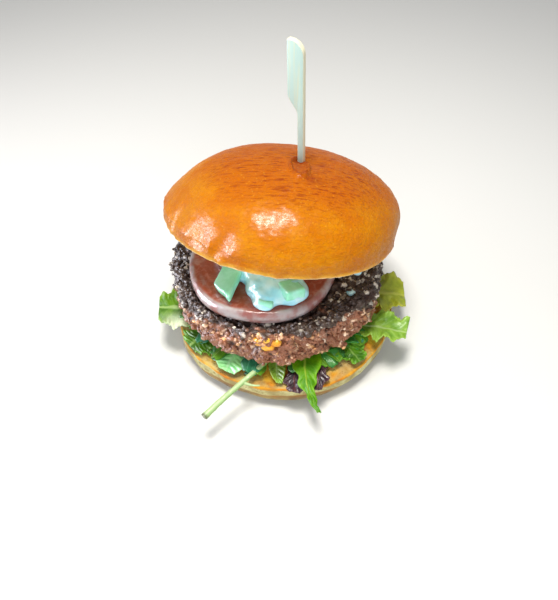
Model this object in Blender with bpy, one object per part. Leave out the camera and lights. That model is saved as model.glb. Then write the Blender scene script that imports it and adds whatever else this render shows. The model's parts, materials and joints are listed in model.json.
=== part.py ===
"""A veggie burger in a brioche bun, with tomato, white sauce, cucumber and salad, and a paddle pick.

Units are metres and +Z is up. The origin is the middle of the flat face that the bun stands on.
The front is -Y: there the crown is lifted by the filling, and the salad hangs out.
"""

import math
from dataclasses import dataclass

import bmesh
import bpy
from mathutils import Euler, Matrix, Vector, noise

MM = 0.001
GAP = 0.35 * MM  # clearance between pieces that touch

# Heel: the lower half of the bun
HEEL_RADIUS = 53 * MM
HEEL_FOOT_RADIUS = 44 * MM
HEEL_CUT_RADIUS = 41 * MM  # where the flat middle of the cut face ends
HEEL_BELLY_HEIGHT = 7 * MM
HEEL_RIM_HEIGHT = 12.6 * MM
HEEL_RIM_ROUND = 1.2 * MM
HEEL_HEIGHT = 14 * MM
HEEL_RIM_SAG = 0.5 * MM
HEEL_UNEVEN = 0.01
HEEL_SEGMENTS = 48

# Salad layer between the heel and the patty
SALAD_HEIGHT = 6 * MM
BED_CENTRE = Vector((-3.5 * MM, 3.5 * MM, 0))
BED_RADIUS = 45 * MM
BED_EDGE = 1.3 * MM
BED_UNEVEN = 0.8 * MM
BED_RUFFLE = 0.9 * MM
BED_RUFFLES = 17
BED_SEGMENTS = 50
LEAF_THICKNESS = 0.8 * MM
LEAF_STEPS = 9
LEAF_STRIPS = 4
POCKET_CLEARANCE = 0.5 * MM  # round a leaf's flat root, where the bed holds it
POCKET_OVERRUN = 6 * MM  # past the route's second point, so that the pocket opens at the bed's edge

# Small leaf ends that stand out of the bed between the large leaves, at these angles in degrees
BED_TONGUES = (-128.5, -55.3, 25, 62, 71, 106, 116, 157, 169)
TONGUE_REACH = 6.5 * MM
TONGUE_HALF_WIDTH = 3.2 * MM
TONGUE_HALF_THICKNESS = 0.55 * MM
TONGUE_CURL = 0.7 * MM

# Patty
PATTY_CENTRE = Vector((-4 * MM, 5 * MM, 0))
PATTY_RADIUS = 49 * MM
PATTY_BASE = HEEL_HEIGHT + SALAD_HEIGHT
PATTY_HEIGHT = 22 * MM
PATTY_TOP = PATTY_BASE + PATTY_HEIGHT
PATTY_EDGE = 4 * MM
PATTY_UNEVEN = 0.012
PATTY_SEGMENTS = 74
CRAG_SIZE = 8 * MM
CRAG_DEPTH = 2.6 * MM

# Sweetcorn kernels that stand out of the patty's side: angle in degrees, height and length
KERNELS = (
    (-98.5, 36.6 * MM, 5.5 * MM),
    (-94.5, 34.2 * MM, 6.5 * MM),
    (-90.5, 36.4 * MM, 5 * MM),
    (-94.8, 38 * MM, 4.5 * MM),
)
KERNEL_SUNK = 0.6 * MM

# Tomato slice
TOMATO_CENTRE = Vector((-10.5 * MM, -6.5 * MM, 0))
TOMATO_RADIUS = 34 * MM
TOMATO_BASE = PATTY_TOP + GAP
TOMATO_THICKNESS = 6.5 * MM
TOMATO_TOP = TOMATO_BASE + TOMATO_THICKNESS
TOMATO_BULGE = 2.6 * MM
TOMATO_LOBES = 5
TOMATO_UNEVEN = 0.014
TOMATO_POCKET_DEPTH = 0.5 * MM
TOMATO_SEGMENTS = 42

# Crown: the upper half of the bun, tipped back over the filling
CROWN_CENTRE = Vector((-2.5 * MM, 12.5 * MM, 55 * MM))
CROWN_TIP_BACK = math.radians(-15)
CROWN_TIP_RIGHT = math.radians(7)
CROWN_RADIUS = 53.8 * MM
CROWN_CUT_RADIUS = 52.6 * MM
CROWN_SHOULDER = 6 * MM
CROWN_HEIGHT = 31.6 * MM
CROWN_DOME_STEPS = 13
CROWN_SEGMENTS = 60
CROWN_SKEW = 0.16  # how far the dome leans to the right, for each unit of height
CROWN_SLIM = 0.07  # how much narrower the dome's left flank is
CROWN_SWELL = 0.5 * MM
CROWN_SWELL_SIZE = 24 * MM
CROWN_DIMPLE_RADIUS = 6 * MM
CROWN_DIMPLE_DEPTH = 1.3 * MM
DENT_HALF_HEIGHT = 7 * MM
# Dents pressed in the crown's side: angle in degrees, height, half width and depth
CROWN_DENTS = (
    (-152, 7 * MM, 6 * MM, 1.6 * MM),
    (-133, 5 * MM, 5 * MM, 1.5 * MM),
    (-119, 6 * MM, 4.5 * MM, 1.8 * MM),
    (-106, 4 * MM, 5 * MM, 1.2 * MM),
    (-20, 8 * MM, 7 * MM, 1.2 * MM),
    (70, 6 * MM, 8 * MM, 1.4 * MM),
    (150, 7 * MM, 7 * MM, 1.2 * MM),
)

# Paddle pick: it ends inside the patty
PICK_LENGTH = 114.5 * MM
PICK_TIP = Vector((8.3 * MM, 18.8 * MM, 23 * MM))
PICK_LEAN = math.radians(-1.5)
PICK_TURN = math.radians(-24)
PICK_STEM_WIDTH = 2.7 * MM
PICK_THICKNESS = 2.6 * MM
PICK_BLADE_WIDTH = 7 * MM
PICK_BLADE_LENGTH = 22 * MM
PICK_NECK = 8.7 * MM
PICK_NECK_STEPS = 5
PICK_CORNER = 5.8 * MM
PICK_EDGE = 0.6 * MM
PICK_POINT = 9 * MM
PICK_HOLE_CLEARANCE = 0.6 * MM

# White sauce: squashed balls that run together, each a centre (x, y, z) and radii (x, y, z)
SAUCE_BALLS = (
    ((-7, -24, 50), (11, 12, 6.5)),
    ((-9, -32, 49.6), (6, 6, 3.6)),
    ((2, -27, 49.8), (8, 8, 5)),
    ((-15, -15, 51), (9, 8, 6.5)),
    ((-8, -9, 51.5), (15, 11, 9)),
    ((-24, -5, 51.5), (9, 8, 6.5)),
    ((-3, 3, 50.5), (10, 9, 6)),
)
SAUCE_VOXEL = 1.5 * MM
SAUCE_KEPT_SHARE = 0.15  # of the remeshed faces, so that the solid stays light

# Cucumber dice: centre (x, y, z), size (x, y, z), turn in degrees (x, y, z) and the front end's slant
CUCUMBER = {
    "cucumber_left": ((-24.8, -22.4, 52.4), (10, 16.3, 3.8), (8, -10, -21), 0.67),
    "cucumber_right": ((2.2, -29.5, 53), (9.5, 9, 5.5), (-8, 10, 28), 0),
    "cucumber_low": ((-8.5, -34.3, 51), (7, 5.5, 3), (-10, 4, -14), 0),
}
CUCUMBER_EDGE = 1.1 * MM

# Rocket stalk that lies over the heel's front edge: a route and its radii, in millimetres
STALK_ROUTE = ((-5, -36, 18), (-12, -44, 17.9), (-20, -52, 17), (-28, -60, 16), (-35, -67.5, 14.8))
STALK_RADII = (1.1, 1.15, 1.2, 1.35, 1.6)
STALK_SPUR = ((-19, -51.2, 17.1), (-15, -52.5, 16.6), (-11.5, -53, 17))
STALK_SPUR_RADII = (0.8, 0.55, 0.35)


@dataclass
class Leaf:
    """A thin wavy leaf, given along its midrib from the root to the tip, in millimetres."""

    name: str
    route: tuple
    half_widths: tuple
    ruffle: float
    waves: float
    lobes: float = 0.0
    cup: float = 0.0
    colour: str = "green"

    @property
    def side(self):
        """The level direction across the leaf's root."""
        ahead = Vector(self.route[1]) - Vector(self.route[0])
        return Vector((-ahead.y, ahead.x, 0)).normalized()


LEAVES = (
    Leaf(
        name="lettuce_left",
        route=((-42, -9, 18), (-48, -9.5, 18.1), (-55, -9.5, 18.8), (-61.5, -8.5, 18.2)),
        half_widths=(8.5, 10.5, 12, 7),
        ruffle=1.3,
        waves=2.5,
        lobes=0.1,
        cup=0.8,
        colour="pale",
    ),
    Leaf(
        name="leaf_green_left",
        route=((-34.5, -21.3, 15.9), (-38.8, -25.1, 15.9), (-42, -27.9, 15.6), (-44.3, -30, 15.1)),
        half_widths=(6.5, 7.5, 8.5, 5),
        ruffle=0.6,
        waves=2.5,
        lobes=0.12,
    ),
    Leaf(
        name="leaf_mint_left",
        route=((-20.5, -31, 16.8), (-22.8, -35.8, 16.7), (-25.2, -40.4, 16.2), (-26.8, -44, 15.6)),
        half_widths=(4.5, 6.2, 7.4, 4),
        ruffle=0.5,
        waves=1.5,
        cup=0.5,
        colour="mint",
    ),
    Leaf(
        name="leaf_teal_left",
        route=((-12.2, -34, 15.7), (-13.7, -39.5, 15.7), (-16, -46, 15.1)),
        half_widths=(3.6, 4.4, 2.6),
        ruffle=0.3,
        waves=1.0,
        colour="teal",
    ),
    Leaf(
        name="leaf_pale_middle",
        route=((-3.9, -34, 16.2), (-4, -40.5, 16.3), (-3.7, -46, 16.1), (-3, -50.5, 15.4)),
        half_widths=(3.2, 3.9, 3.2, 1.2),
        ruffle=0.4,
        waves=1.5,
        colour="pale",
    ),
    Leaf(
        name="leaf_red_left",
        route=((5.2, -34, 15.1), (4.6, -42, 15.1), (4.2, -49, 14.5), (4.2, -54.5, 13.9)),
        half_widths=(2.8, 3.8, 4.4, 2.6),
        ruffle=0.4,
        waves=2.5,
        lobes=0.25,
        colour="red",
    ),
    Leaf(
        name="leaf_green_front",
        route=((9.6, -34, 18.2), (9.3, -42, 18.2), (9.3, -50, 17.6), (11, -58.5, 16.2), (14, -65.5, 15)),
        half_widths=(6.4, 6.6, 3.8, 1.9, 0.7),
        ruffle=0.4,
        waves=3.0,
        lobes=0.3,
        cup=-0.7,
        colour="lime",
    ),
    Leaf(
        name="leaf_red_right",
        route=((15.4, -33, 15.5), (15.2, -40.5, 15.5), (14.8, -47.5, 15), (14, -53, 14.2)),
        half_widths=(3.2, 3.8, 3.8, 1.6),
        ruffle=0.4,
        waves=2.0,
        lobes=0.18,
        colour="red",
    ),
    Leaf(
        name="leaf_right_low",
        route=((25.5, -24.5, 16.2), (28.6, -29.4, 16.2), (31.6, -34.2, 15.8), (34, -38.4, 15.3)),
        half_widths=(4, 4.8, 5.6, 3),
        ruffle=0.7,
        waves=2.5,
        lobes=0.15,
    ),
    Leaf(
        name="leaf_right",
        route=((32.5, -16.5, 17.6), (39, -18.5, 17.8), (47, -21, 19.4), (57, -23.5, 18.8)),
        half_widths=(6, 7.5, 8.5, 6),
        ruffle=1.5,
        waves=3.0,
        lobes=0.16,
        cup=1.2,
    ),
    Leaf(
        name="leaf_right_back",
        route=((34.5, 4, 17.2), (41, 3.5, 17.4), (50, 3, 18.4), (59.5, 2, 17.6)),
        half_widths=(8, 11, 13, 9),
        ruffle=1.3,
        waves=2.5,
        lobes=0.12,
        cup=0.8,
    ),
    Leaf(
        name="leaf_back_right",
        route=((24, 30, 17), (29.5, 35.5, 17), (37, 43, 16.4), (43, 49, 15.2)),
        half_widths=(6, 7, 7.5, 3),
        ruffle=0.9,
        waves=2.5,
        lobes=0.15,
    ),
    Leaf(
        name="leaf_back",
        route=((-3, 42, 17), (-2.5, 49, 17), (-1, 56.5, 16.4), (1.5, 63, 14.8)),
        half_widths=(6, 7.5, 6, 2),
        ruffle=0.8,
        waves=3.0,
        lobes=0.22,
        colour="lime",
    ),
    Leaf(
        name="leaf_back_left",
        route=((-32, 29, 17), (-38, 34, 17), (-46, 40, 17), (-52.5, 44.5, 15.6)),
        half_widths=(7, 8, 8.5, 3),
        ruffle=1.0,
        waves=2.5,
        lobes=0.15,
        colour="red",
    ),
)

# Colours as linear red, green and blue, with the roughness
FINISHES = {
    "crust": ((0.78, 0.29, 0.03), 0.25),
    "crumb": ((0.85, 0.55, 0.22), 0.8),
    "patty": ((0.16, 0.09, 0.06), 0.75),
    "tomato": ((0.42, 0.07, 0.035), 0.3),
    "sauce": ((0.68, 0.88, 0.84), 0.3),
    "cucumber": ((0.36, 0.75, 0.42), 0.35),
    "wood": ((0.78, 0.82, 0.62), 0.55),
    "stalk": ((0.42, 0.72, 0.26), 0.4),
    "green": ((0.18, 0.45, 0.04), 0.45),
    "lime": ((0.26, 0.62, 0.02), 0.4),
    "pale": ((0.45, 0.72, 0.22), 0.4),
    "mint": ((0.22, 0.55, 0.28), 0.4),
    "teal": ((0.03, 0.25, 0.12), 0.4),
    "red": ((0.06, 0.015, 0.03), 0.4),
    "bed": ((0.03, 0.16, 0.03), 0.5),
}


def clear_scene():
    """Remove everything that the file opened with."""
    for obj in list(bpy.data.objects):
        bpy.data.objects.remove(obj, do_unlink=True)


def finish(name):
    """The named material, made on first use."""
    found = bpy.data.materials.get(name)
    if found:
        return found
    colour, roughness = FINISHES[name]
    made = bpy.data.materials.new(name)
    made.use_nodes = True
    shader = made.node_tree.nodes["Principled BSDF"]
    shader.inputs["Base Color"].default_value = (*colour, 1)
    shader.inputs["Roughness"].default_value = roughness
    shader.inputs["Metallic"].default_value = 0
    return made


def add_object(name, bm, material):
    """Turn a bmesh into a smooth-shaded object in the scene."""
    mesh = bpy.data.meshes.new(name)
    bm.to_mesh(mesh)
    bm.free()
    mesh.shade_smooth()
    mesh.set_sharp_from_angle(angle=math.radians(50))
    obj = bpy.data.objects.new(name, mesh)
    obj.data.materials.append(finish(material))
    bpy.context.scene.collection.objects.link(obj)
    return obj


def smoothstep(low, high, value):
    """Rise from 0 at low to 1 at high, without a corner."""
    t = min(max((value - low) / (high - low), 0.0), 1.0)
    return t * t * (3 - 2 * t)


def arc(centre, radii, start, end, steps):
    """(radius, height) points on an elliptic arc, with its angles in degrees."""
    angles = [math.radians(start + (end - start) * i / steps) for i in range(steps + 1)]
    return [(centre[0] + radii[0] * math.cos(a), centre[1] + radii[1] * math.sin(a)) for a in angles]


def along(start, end, steps):
    """Points from start towards end on a straight line, without either end."""
    return [tuple(a + (b - a) * i / steps for a, b in zip(start, end)) for i in range(1, steps)]


def turned(profile, segments):
    """Spin a profile of (radius, height) points, which starts and ends on the Z axis, into a closed bmesh."""
    bm = bmesh.new()
    verts = [bm.verts.new((radius, 0, height)) for radius, height in profile]
    edges = [bm.edges.new(pair) for pair in zip(verts, verts[1:])]
    bmesh.ops.spin(
        bm,
        geom=verts + edges,
        cent=(0, 0, 0),
        axis=(0, 0, 1),
        angle=math.tau,
        steps=segments,
        use_merge=True,
    )
    bmesh.ops.remove_doubles(bm, verts=bm.verts, dist=1e-6)
    bmesh.ops.recalc_face_normals(bm, faces=bm.faces)
    return bm


def angle_of(point):
    """The point's angle round the Z axis."""
    return math.atan2(point.y, point.x)


def angle_between(first, second):
    """The smallest turn between two angles, without its sign."""
    return abs((first - second + math.pi) % math.tau - math.pi)


def add_cutter(name, bm):
    """Turn a bmesh into a hidden object that only cuts others."""
    cutter = add_object(name, bm, "wood")
    cutter.hide_render = True
    cutter.display_type = "WIRE"
    return cutter


def block(size):
    """A bmesh box of this size, centred on the origin."""
    bm = bmesh.new()
    bmesh.ops.create_cube(bm, size=1)
    bmesh.ops.scale(bm, vec=size, verts=bm.verts)
    return bm


def grown_copy(obj, gap):
    """A hidden copy of an object, grown by a gap."""
    bm = bmesh.new()
    bm.from_mesh(obj.data)
    bm.normal_update()
    for vert in bm.verts:
        vert.co += vert.normal * gap
    return add_cutter("room_for_" + obj.name, bm)


def make_room(obj, neighbours):
    """Cut an object back to a gap from its neighbours. The exact solver leaves an open edge here."""
    return combine(obj, [grown_copy(other, GAP) for other in neighbours], "DIFFERENCE", solver="MANIFOLD")


def cut_with(obj, cutter):
    """Cut a hidden cutter out of an object with an exact Boolean."""
    cut = obj.modifiers.new("cut by " + cutter.name, "BOOLEAN")
    cut.operation = "DIFFERENCE"
    cut.solver = "EXACT"
    cut.object = cutter


def apply_modifiers(obj):
    """Replace an object's mesh with the one that its modifiers make."""
    bpy.context.view_layer.update()
    graph = bpy.context.evaluated_depsgraph_get()
    mesh = bpy.data.meshes.new_from_object(obj.evaluated_get(graph))
    obj.modifiers.clear()
    obj.data = mesh


def combine(first, others, operation, solver="EXACT"):
    """Join closed solids to the first one or cut them out of it, in one Boolean, and remove them."""
    collection = bpy.data.collections.new("operands of " + first.name)
    bpy.context.scene.collection.children.link(collection)
    for other in others:
        bpy.context.scene.collection.objects.unlink(other)
        collection.objects.link(other)
    boolean = first.modifiers.new("combine", "BOOLEAN")
    boolean.operation = operation
    boolean.operand_type = "COLLECTION"
    boolean.collection = collection
    boolean.solver = solver
    apply_modifiers(first)
    for other in list(collection.objects):
        bpy.data.objects.remove(other, do_unlink=True)
    bpy.data.collections.remove(collection)
    return first


def make_heel():
    """The lower half of the bun: flat foot, round belly, and a cut face that sinks towards its rim."""
    belly = arc(
        centre=(HEEL_FOOT_RADIUS, HEEL_BELLY_HEIGHT),
        radii=(HEEL_RADIUS - HEEL_FOOT_RADIUS, HEEL_BELLY_HEIGHT),
        start=-90,
        end=0,
        steps=5,
    )
    lip = arc(
        centre=(HEEL_RADIUS - HEEL_RIM_ROUND, HEEL_RIM_HEIGHT - HEEL_RIM_ROUND),
        radii=(HEEL_RIM_ROUND, HEEL_RIM_ROUND),
        start=0,
        end=90,
        steps=2,
    )
    cut_face = [(HEEL_CUT_RADIUS, HEEL_HEIGHT), (HEEL_CUT_RADIUS / 2, HEEL_HEIGHT), (0, HEEL_HEIGHT)]
    profile = [(0, 0), (HEEL_FOOT_RADIUS / 2, 0)] + belly + lip + along(lip[-1], cut_face[0], 2) + cut_face
    bm = turned(profile, HEEL_SEGMENTS)
    for vert in bm.verts:
        angle, reach = angle_of(vert.co), vert.co.xy.length / HEEL_RADIUS
        uneven = 1 + HEEL_UNEVEN * (math.sin(2 * angle + 0.6) + 0.8 * math.sin(5 * angle + 2))
        vert.co.x *= uneven
        vert.co.y *= uneven
        is_rim = smoothstep(HEEL_BELLY_HEIGHT, HEEL_RIM_HEIGHT, vert.co.z) * smoothstep(0.85, 1.0, reach)
        vert.co.z += HEEL_RIM_SAG * is_rim * (math.sin(3 * angle + 1) + 0.7 * math.sin(7 * angle))
    return add_object("bun_heel", bm, "crumb")


def make_salad_bed():
    """The pressed layer of leaves between heel and patty: a ruffled core with small leaf ends fused on."""
    low, high = HEEL_HEIGHT + GAP, PATTY_BASE - GAP
    middle = (low + high) / 2
    under = [(0, low), (0.6, low), (0.9, low), (0.97, middle - BED_EDGE)]
    over = [(0.97, middle + BED_EDGE), (0.9, high), (0.6, high), (0, high)]
    bm = turned(under + [(1, middle)] + over, BED_SEGMENTS)
    for vert in bm.verts:
        angle, share = angle_of(vert.co), vert.co.xy.length
        outline = BED_RADIUS + BED_UNEVEN * (math.sin(9 * angle) + 0.7 * math.sin(14 * angle + 1))
        ruffle = BED_RUFFLE * math.sin(BED_RUFFLES * angle) * smoothstep(0.9, 1.0, share)
        reach = outline * share
        vert.co = BED_CENTRE + Vector((reach * math.cos(angle), reach * math.sin(angle), vert.co.z + ruffle))
    bed = add_object("salad_bed", bm, "bed")
    tongues = [make_tongue(i, math.radians(angle)) for i, angle in enumerate(BED_TONGUES)]
    return combine(bed, tongues, "UNION", solver="MANIFOLD")


def make_tongue(index, angle):
    """A short curled leaf end with its root inside the bed."""
    bm = bmesh.new()
    bmesh.ops.create_icosphere(bm, subdivisions=2, radius=1)
    bmesh.ops.scale(bm, vec=(TONGUE_REACH, TONGUE_HALF_WIDTH, TONGUE_HALF_THICKNESS), verts=bm.verts)
    for vert in bm.verts:
        vert.co.z += TONGUE_CURL * math.sin(2 * vert.co.y / TONGUE_HALF_WIDTH + index)
    height = (HEEL_HEIGHT + PATTY_BASE) / 2 + TONGUE_CURL * math.sin(2.4 * index)
    place = Matrix.Translation(BED_CENTRE + Vector((0, 0, height))) @ Matrix.Rotation(angle, 4, "Z")
    bm.transform(place @ Matrix.Translation((BED_RADIUS - TONGUE_REACH / 4, 0, 0)))
    return add_object(f"tongue_{index}", bm, "bed")


def make_pocket(name, route, half_width, thickness):
    """The hidden shape of the pocket in the bed that holds a root which follows a route, in millimetres."""
    root, after = Vector(route[0]) * MM, Vector(route[1]) * MM
    width = 2 * (half_width * MM + POCKET_CLEARANCE)
    reach = (after - root).length + POCKET_OVERRUN
    bm = block((width, reach + POCKET_CLEARANCE, thickness + 2 * POCKET_CLEARANCE))
    bmesh.ops.translate(bm, vec=(0, (reach - POCKET_CLEARANCE) / 2, 0), verts=bm.verts)
    turn = (after - root).to_track_quat("Y", "Z").to_matrix().to_4x4()
    bm.transform(Matrix.Translation(root) @ turn)
    return add_cutter("pocket_for_" + name, bm)


def smooth_route(points, steps):
    """Vectors at even steps on a Catmull-Rom curve through points. A plain size becomes a vector's x."""
    points = [Vector(p if isinstance(p, tuple) else (p, 0, 0)) for p in points]
    ends = [2 * points[0] - points[1], *points, 2 * points[-1] - points[-2]]
    found = []
    for i in range(steps + 1):
        place = i / steps * (len(points) - 1)
        k = min(int(place), len(points) - 2)
        t = place - k
        a, b, c, d = ends[k : k + 4]
        found.append(
            0.5 * (2 * b + (c - a) * t + (2 * a - 5 * b + 4 * c - d) * t**2 + (3 * b - a - 3 * c + d) * t**3)
        )
    return found


def leaf_point(leaf, spine, half_width, along_share, across):
    """A point of a leaf's middle surface, in millimetres. across runs from -1 to 1."""
    grows = smoothstep(0.25, 0.6, along_share)
    lobe = 1 + leaf.lobes * grows * math.sin(math.tau * (leaf.waves + 1) * along_share + (across > 0) * 1.3)
    point = spine + leaf.side * across * half_width * lobe
    wave = math.sin(math.tau * leaf.waves * along_share + (1.9 if across > 0 else 0))
    point.z += grows * (leaf.ruffle * abs(across) ** 1.6 * wave + leaf.cup * across * across)
    return point


def make_leaf(leaf):
    """A leaf as a triangulated sheet that is given its thickness by Solidify."""
    bm = bmesh.new()
    spines = smooth_route(leaf.route, LEAF_STEPS)
    widths = smooth_route(leaf.half_widths, LEAF_STEPS)
    shares = [2 * j / LEAF_STRIPS - 1 for j in range(LEAF_STRIPS + 1)]
    rows = []
    for i, (spine, width) in enumerate(zip(spines, widths)):
        points = [leaf_point(leaf, spine, width.x, i / LEAF_STEPS, share) for share in shares]
        rows.append([bm.verts.new(point * MM) for point in points])
    for row, after in zip(rows, rows[1:]):
        for j in range(LEAF_STRIPS):
            bm.faces.new((row[j], row[j + 1], after[j + 1]))
            bm.faces.new((row[j], after[j + 1], after[j]))
    obj = add_object(leaf.name, bm, leaf.colour)
    thick = obj.modifiers.new("thickness", "SOLIDIFY")
    thick.thickness = LEAF_THICKNESS
    thick.offset = 0
    return obj


def make_tube(name, route, radii, steps, sides, material):
    """A closed round tube along a smooth route, with its radius changing on the way, in millimetres."""
    bm = bmesh.new()
    centres = smooth_route(route, steps)
    sizes = smooth_route(radii, steps)
    rings = []
    for i, (centre, size) in enumerate(zip(centres, sizes)):
        ahead = centres[min(i + 1, steps)] - centres[max(i - 1, 0)]
        turn = ahead.to_track_quat("Z", "Y").to_matrix()
        ring = []
        for k in range(sides):
            a = math.tau * k / sides
            around = turn @ Vector((math.cos(a), math.sin(a), 0))
            ring.append(bm.verts.new((centre + around * size.x) * MM))
        rings.append(ring)
    bm.faces.new(rings[0])
    bm.faces.new(rings[-1])
    for ring, after in zip(rings, rings[1:]):
        for k in range(sides):
            m = (k + 1) % sides
            bm.faces.new((ring[k], ring[m], after[m], after[k]))
    bmesh.ops.recalc_face_normals(bm, faces=bm.faces)
    return add_object(name, bm, material)


def make_stalk():
    """The rocket stalk with the short spur where a leaf broke off."""
    stalk = make_tube("rocket_stalk", STALK_ROUTE, STALK_RADII, steps=12, sides=8, material="stalk")
    spur = make_tube("spur", STALK_SPUR, STALK_SPUR_RADII, steps=4, sides=6, material="stalk")
    return combine(stalk, [spur], "UNION")


def make_kernel(index, angle, height, length):
    """One sweetcorn kernel, half sunk in the patty's side."""
    bm = bmesh.new()
    bmesh.ops.create_icosphere(bm, subdivisions=2, radius=length / 2)
    bmesh.ops.scale(bm, vec=(0.8, 1.0, 0.75), verts=bm.verts)
    turn = math.radians(angle)
    reach = PATTY_RADIUS - KERNEL_SUNK
    place = PATTY_CENTRE + Vector((reach * math.cos(turn), reach * math.sin(turn), height))
    bm.transform(Matrix.Translation(place) @ Matrix.Rotation(turn, 4, "Z"))
    return add_object(f"kernel_{index}", bm, "patty")


def make_patty():
    """The patty: a thick round cake with a crumbly relief on its top and sides."""
    inner, edge = PATTY_RADIUS - PATTY_EDGE, (PATTY_EDGE, PATTY_EDGE)
    low = arc((inner, PATTY_BASE + PATTY_EDGE), edge, start=-90, end=0, steps=2)
    high = arc((inner, PATTY_TOP - PATTY_EDGE), edge, start=0, end=90, steps=3)
    under = [(0, PATTY_BASE), (inner / 2, PATTY_BASE)]
    over = along(high[-1], (0, PATTY_TOP), steps=8) + [(0, PATTY_TOP)]
    bm = turned(under + low + along(low[-1], high[0], steps=4) + high + over, PATTY_SEGMENTS)
    bm.normal_update()
    for vert in bm.verts:
        angle, reach = angle_of(vert.co), vert.co.xy.length / PATTY_RADIUS
        crag = noise.noise(vert.co / CRAG_SIZE) + 0.8 * noise.noise(vert.co / (CRAG_SIZE / 2))
        wide = 1 + PATTY_UNEVEN * reach * (math.sin(3 * angle + 0.5) + 0.7 * math.sin(7 * angle))
        is_top = smoothstep(0.5, 0.95, vert.normal.z)
        is_under = smoothstep(0.3, 0.9, -vert.normal.z)
        shift = crag * (1 - is_top) - abs(crag) * is_top
        vert.co += vert.normal * CRAG_DEPTH * shift * (1 - is_under)
        vert.co.x *= wide
        vert.co.y *= wide
        vert.co += PATTY_CENTRE
    patty = add_object("patty", bm, "patty")
    kernels = [make_kernel(i, *kernel) for i, kernel in enumerate(KERNELS)]
    return combine(patty, kernels, "UNION")


def make_tomato():
    """A round slice of tomato with a bulging skin edge and shallow seed pockets."""
    half = TOMATO_THICKNESS / 2
    inner = TOMATO_RADIUS - TOMATO_BULGE
    skin = arc((inner, TOMATO_BASE + half), (TOMATO_BULGE, half), start=-90, end=90, steps=6)
    under = [(0, TOMATO_BASE), (inner / 2, TOMATO_BASE)]
    over = along(skin[-1], (0, TOMATO_TOP), steps=4) + [(0, TOMATO_TOP)]
    bm = turned(under + skin + over, TOMATO_SEGMENTS)
    for vert in bm.verts:
        angle, reach = angle_of(vert.co), vert.co.xy.length / TOMATO_RADIUS
        lobed = 1 + TOMATO_UNEVEN * math.sin(TOMATO_LOBES * angle + 0.8) * reach
        is_pocket = smoothstep(0.2, 0.45, reach) * (1 - smoothstep(0.62, 0.85, reach))
        if vert.co.z > TOMATO_TOP - GAP:
            vert.co.z -= TOMATO_POCKET_DEPTH * is_pocket * max(math.sin(TOMATO_LOBES * angle), 0)
        vert.co.x *= lobed
        vert.co.y *= lobed
        vert.co += TOMATO_CENTRE
    return add_object("tomato_slice", bm, "tomato")


def crown_matrix():
    """The crown's place, tipped back and to the right."""
    turn = Euler((CROWN_TIP_BACK, CROWN_TIP_RIGHT, 0)).to_matrix().to_4x4()
    return Matrix.Translation(CROWN_CENTRE) @ turn


def crown_profile():
    """The crown from the middle of its cut face, round the shoulder and over the dome."""
    lip = arc(
        centre=(CROWN_CUT_RADIUS, CROWN_SHOULDER),
        radii=(CROWN_RADIUS - CROWN_CUT_RADIUS, CROWN_SHOULDER),
        start=-90,
        end=0,
        steps=4,
    )
    dome = []
    for i in range(1, CROWN_DOME_STEPS):
        a = math.pi / 2 * i / CROWN_DOME_STEPS
        radius = CROWN_RADIUS * math.cos(a) ** 0.86
        height = CROWN_SHOULDER + (CROWN_HEIGHT - CROWN_SHOULDER) * math.sin(a) ** 0.92
        dome.append((radius, height))
    cut_face = [(0, 0), (CROWN_CUT_RADIUS / 2, 0), (CROWN_CUT_RADIUS * 0.85, 0)]
    return cut_face + lip + dome + [(0, CROWN_HEIGHT)]


def pick_entry(at_height):
    """Where the pick's middle line crosses a height."""
    axis = Euler((0, PICK_LEAN, 0)).to_matrix() @ Vector((0, 0, 1))
    return PICK_TIP + axis * ((at_height - PICK_TIP.z) / axis.z)


def crown_dents(local):
    """How deep the dents in the crown's side are at a point of the upright crown."""
    depth_here = 0
    for dent_angle, height, half_width, depth in CROWN_DENTS:
        across = angle_between(angle_of(local), math.radians(dent_angle)) * CROWN_RADIUS / half_width
        up = (local.z - height) / DENT_HALF_HEIGHT
        depth_here += depth * math.exp(-across * across - up * up)
    return depth_here


def make_crown():
    """The domed upper half of the bun, with a few dents in its side and a dimple round the pick."""
    bm = turned(crown_profile(), CROWN_SEGMENTS)
    place = crown_matrix()
    dimple = place.inverted() @ pick_entry(CROWN_CENTRE.z + CROWN_HEIGHT)
    bm.normal_update()
    for vert in bm.verts:
        local = vert.co.copy()
        above = smoothstep(0, CROWN_SHOULDER, local.z)
        shift = above * (CROWN_SWELL * noise.noise(local / CROWN_SWELL_SIZE) - crown_dents(local))
        rise = max(local.z - CROWN_SHOULDER, 0)
        if rise > 0:
            from_pick = (local.xy - dimple.xy).length / CROWN_DIMPLE_RADIUS
            shift -= CROWN_DIMPLE_DEPTH * math.exp(-from_pick * from_pick)
        vert.co += vert.normal * shift
        is_left = (1 - math.cos(angle_of(local))) / 2
        slim = 1 - CROWN_SLIM * is_left * math.sin(math.pi * rise / (CROWN_HEIGHT - CROWN_SHOULDER))
        vert.co.x = vert.co.x * slim + CROWN_SKEW * rise
        vert.co.y *= slim
    bm.transform(place)
    return add_object("bun_crown", bm, "crust")


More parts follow.
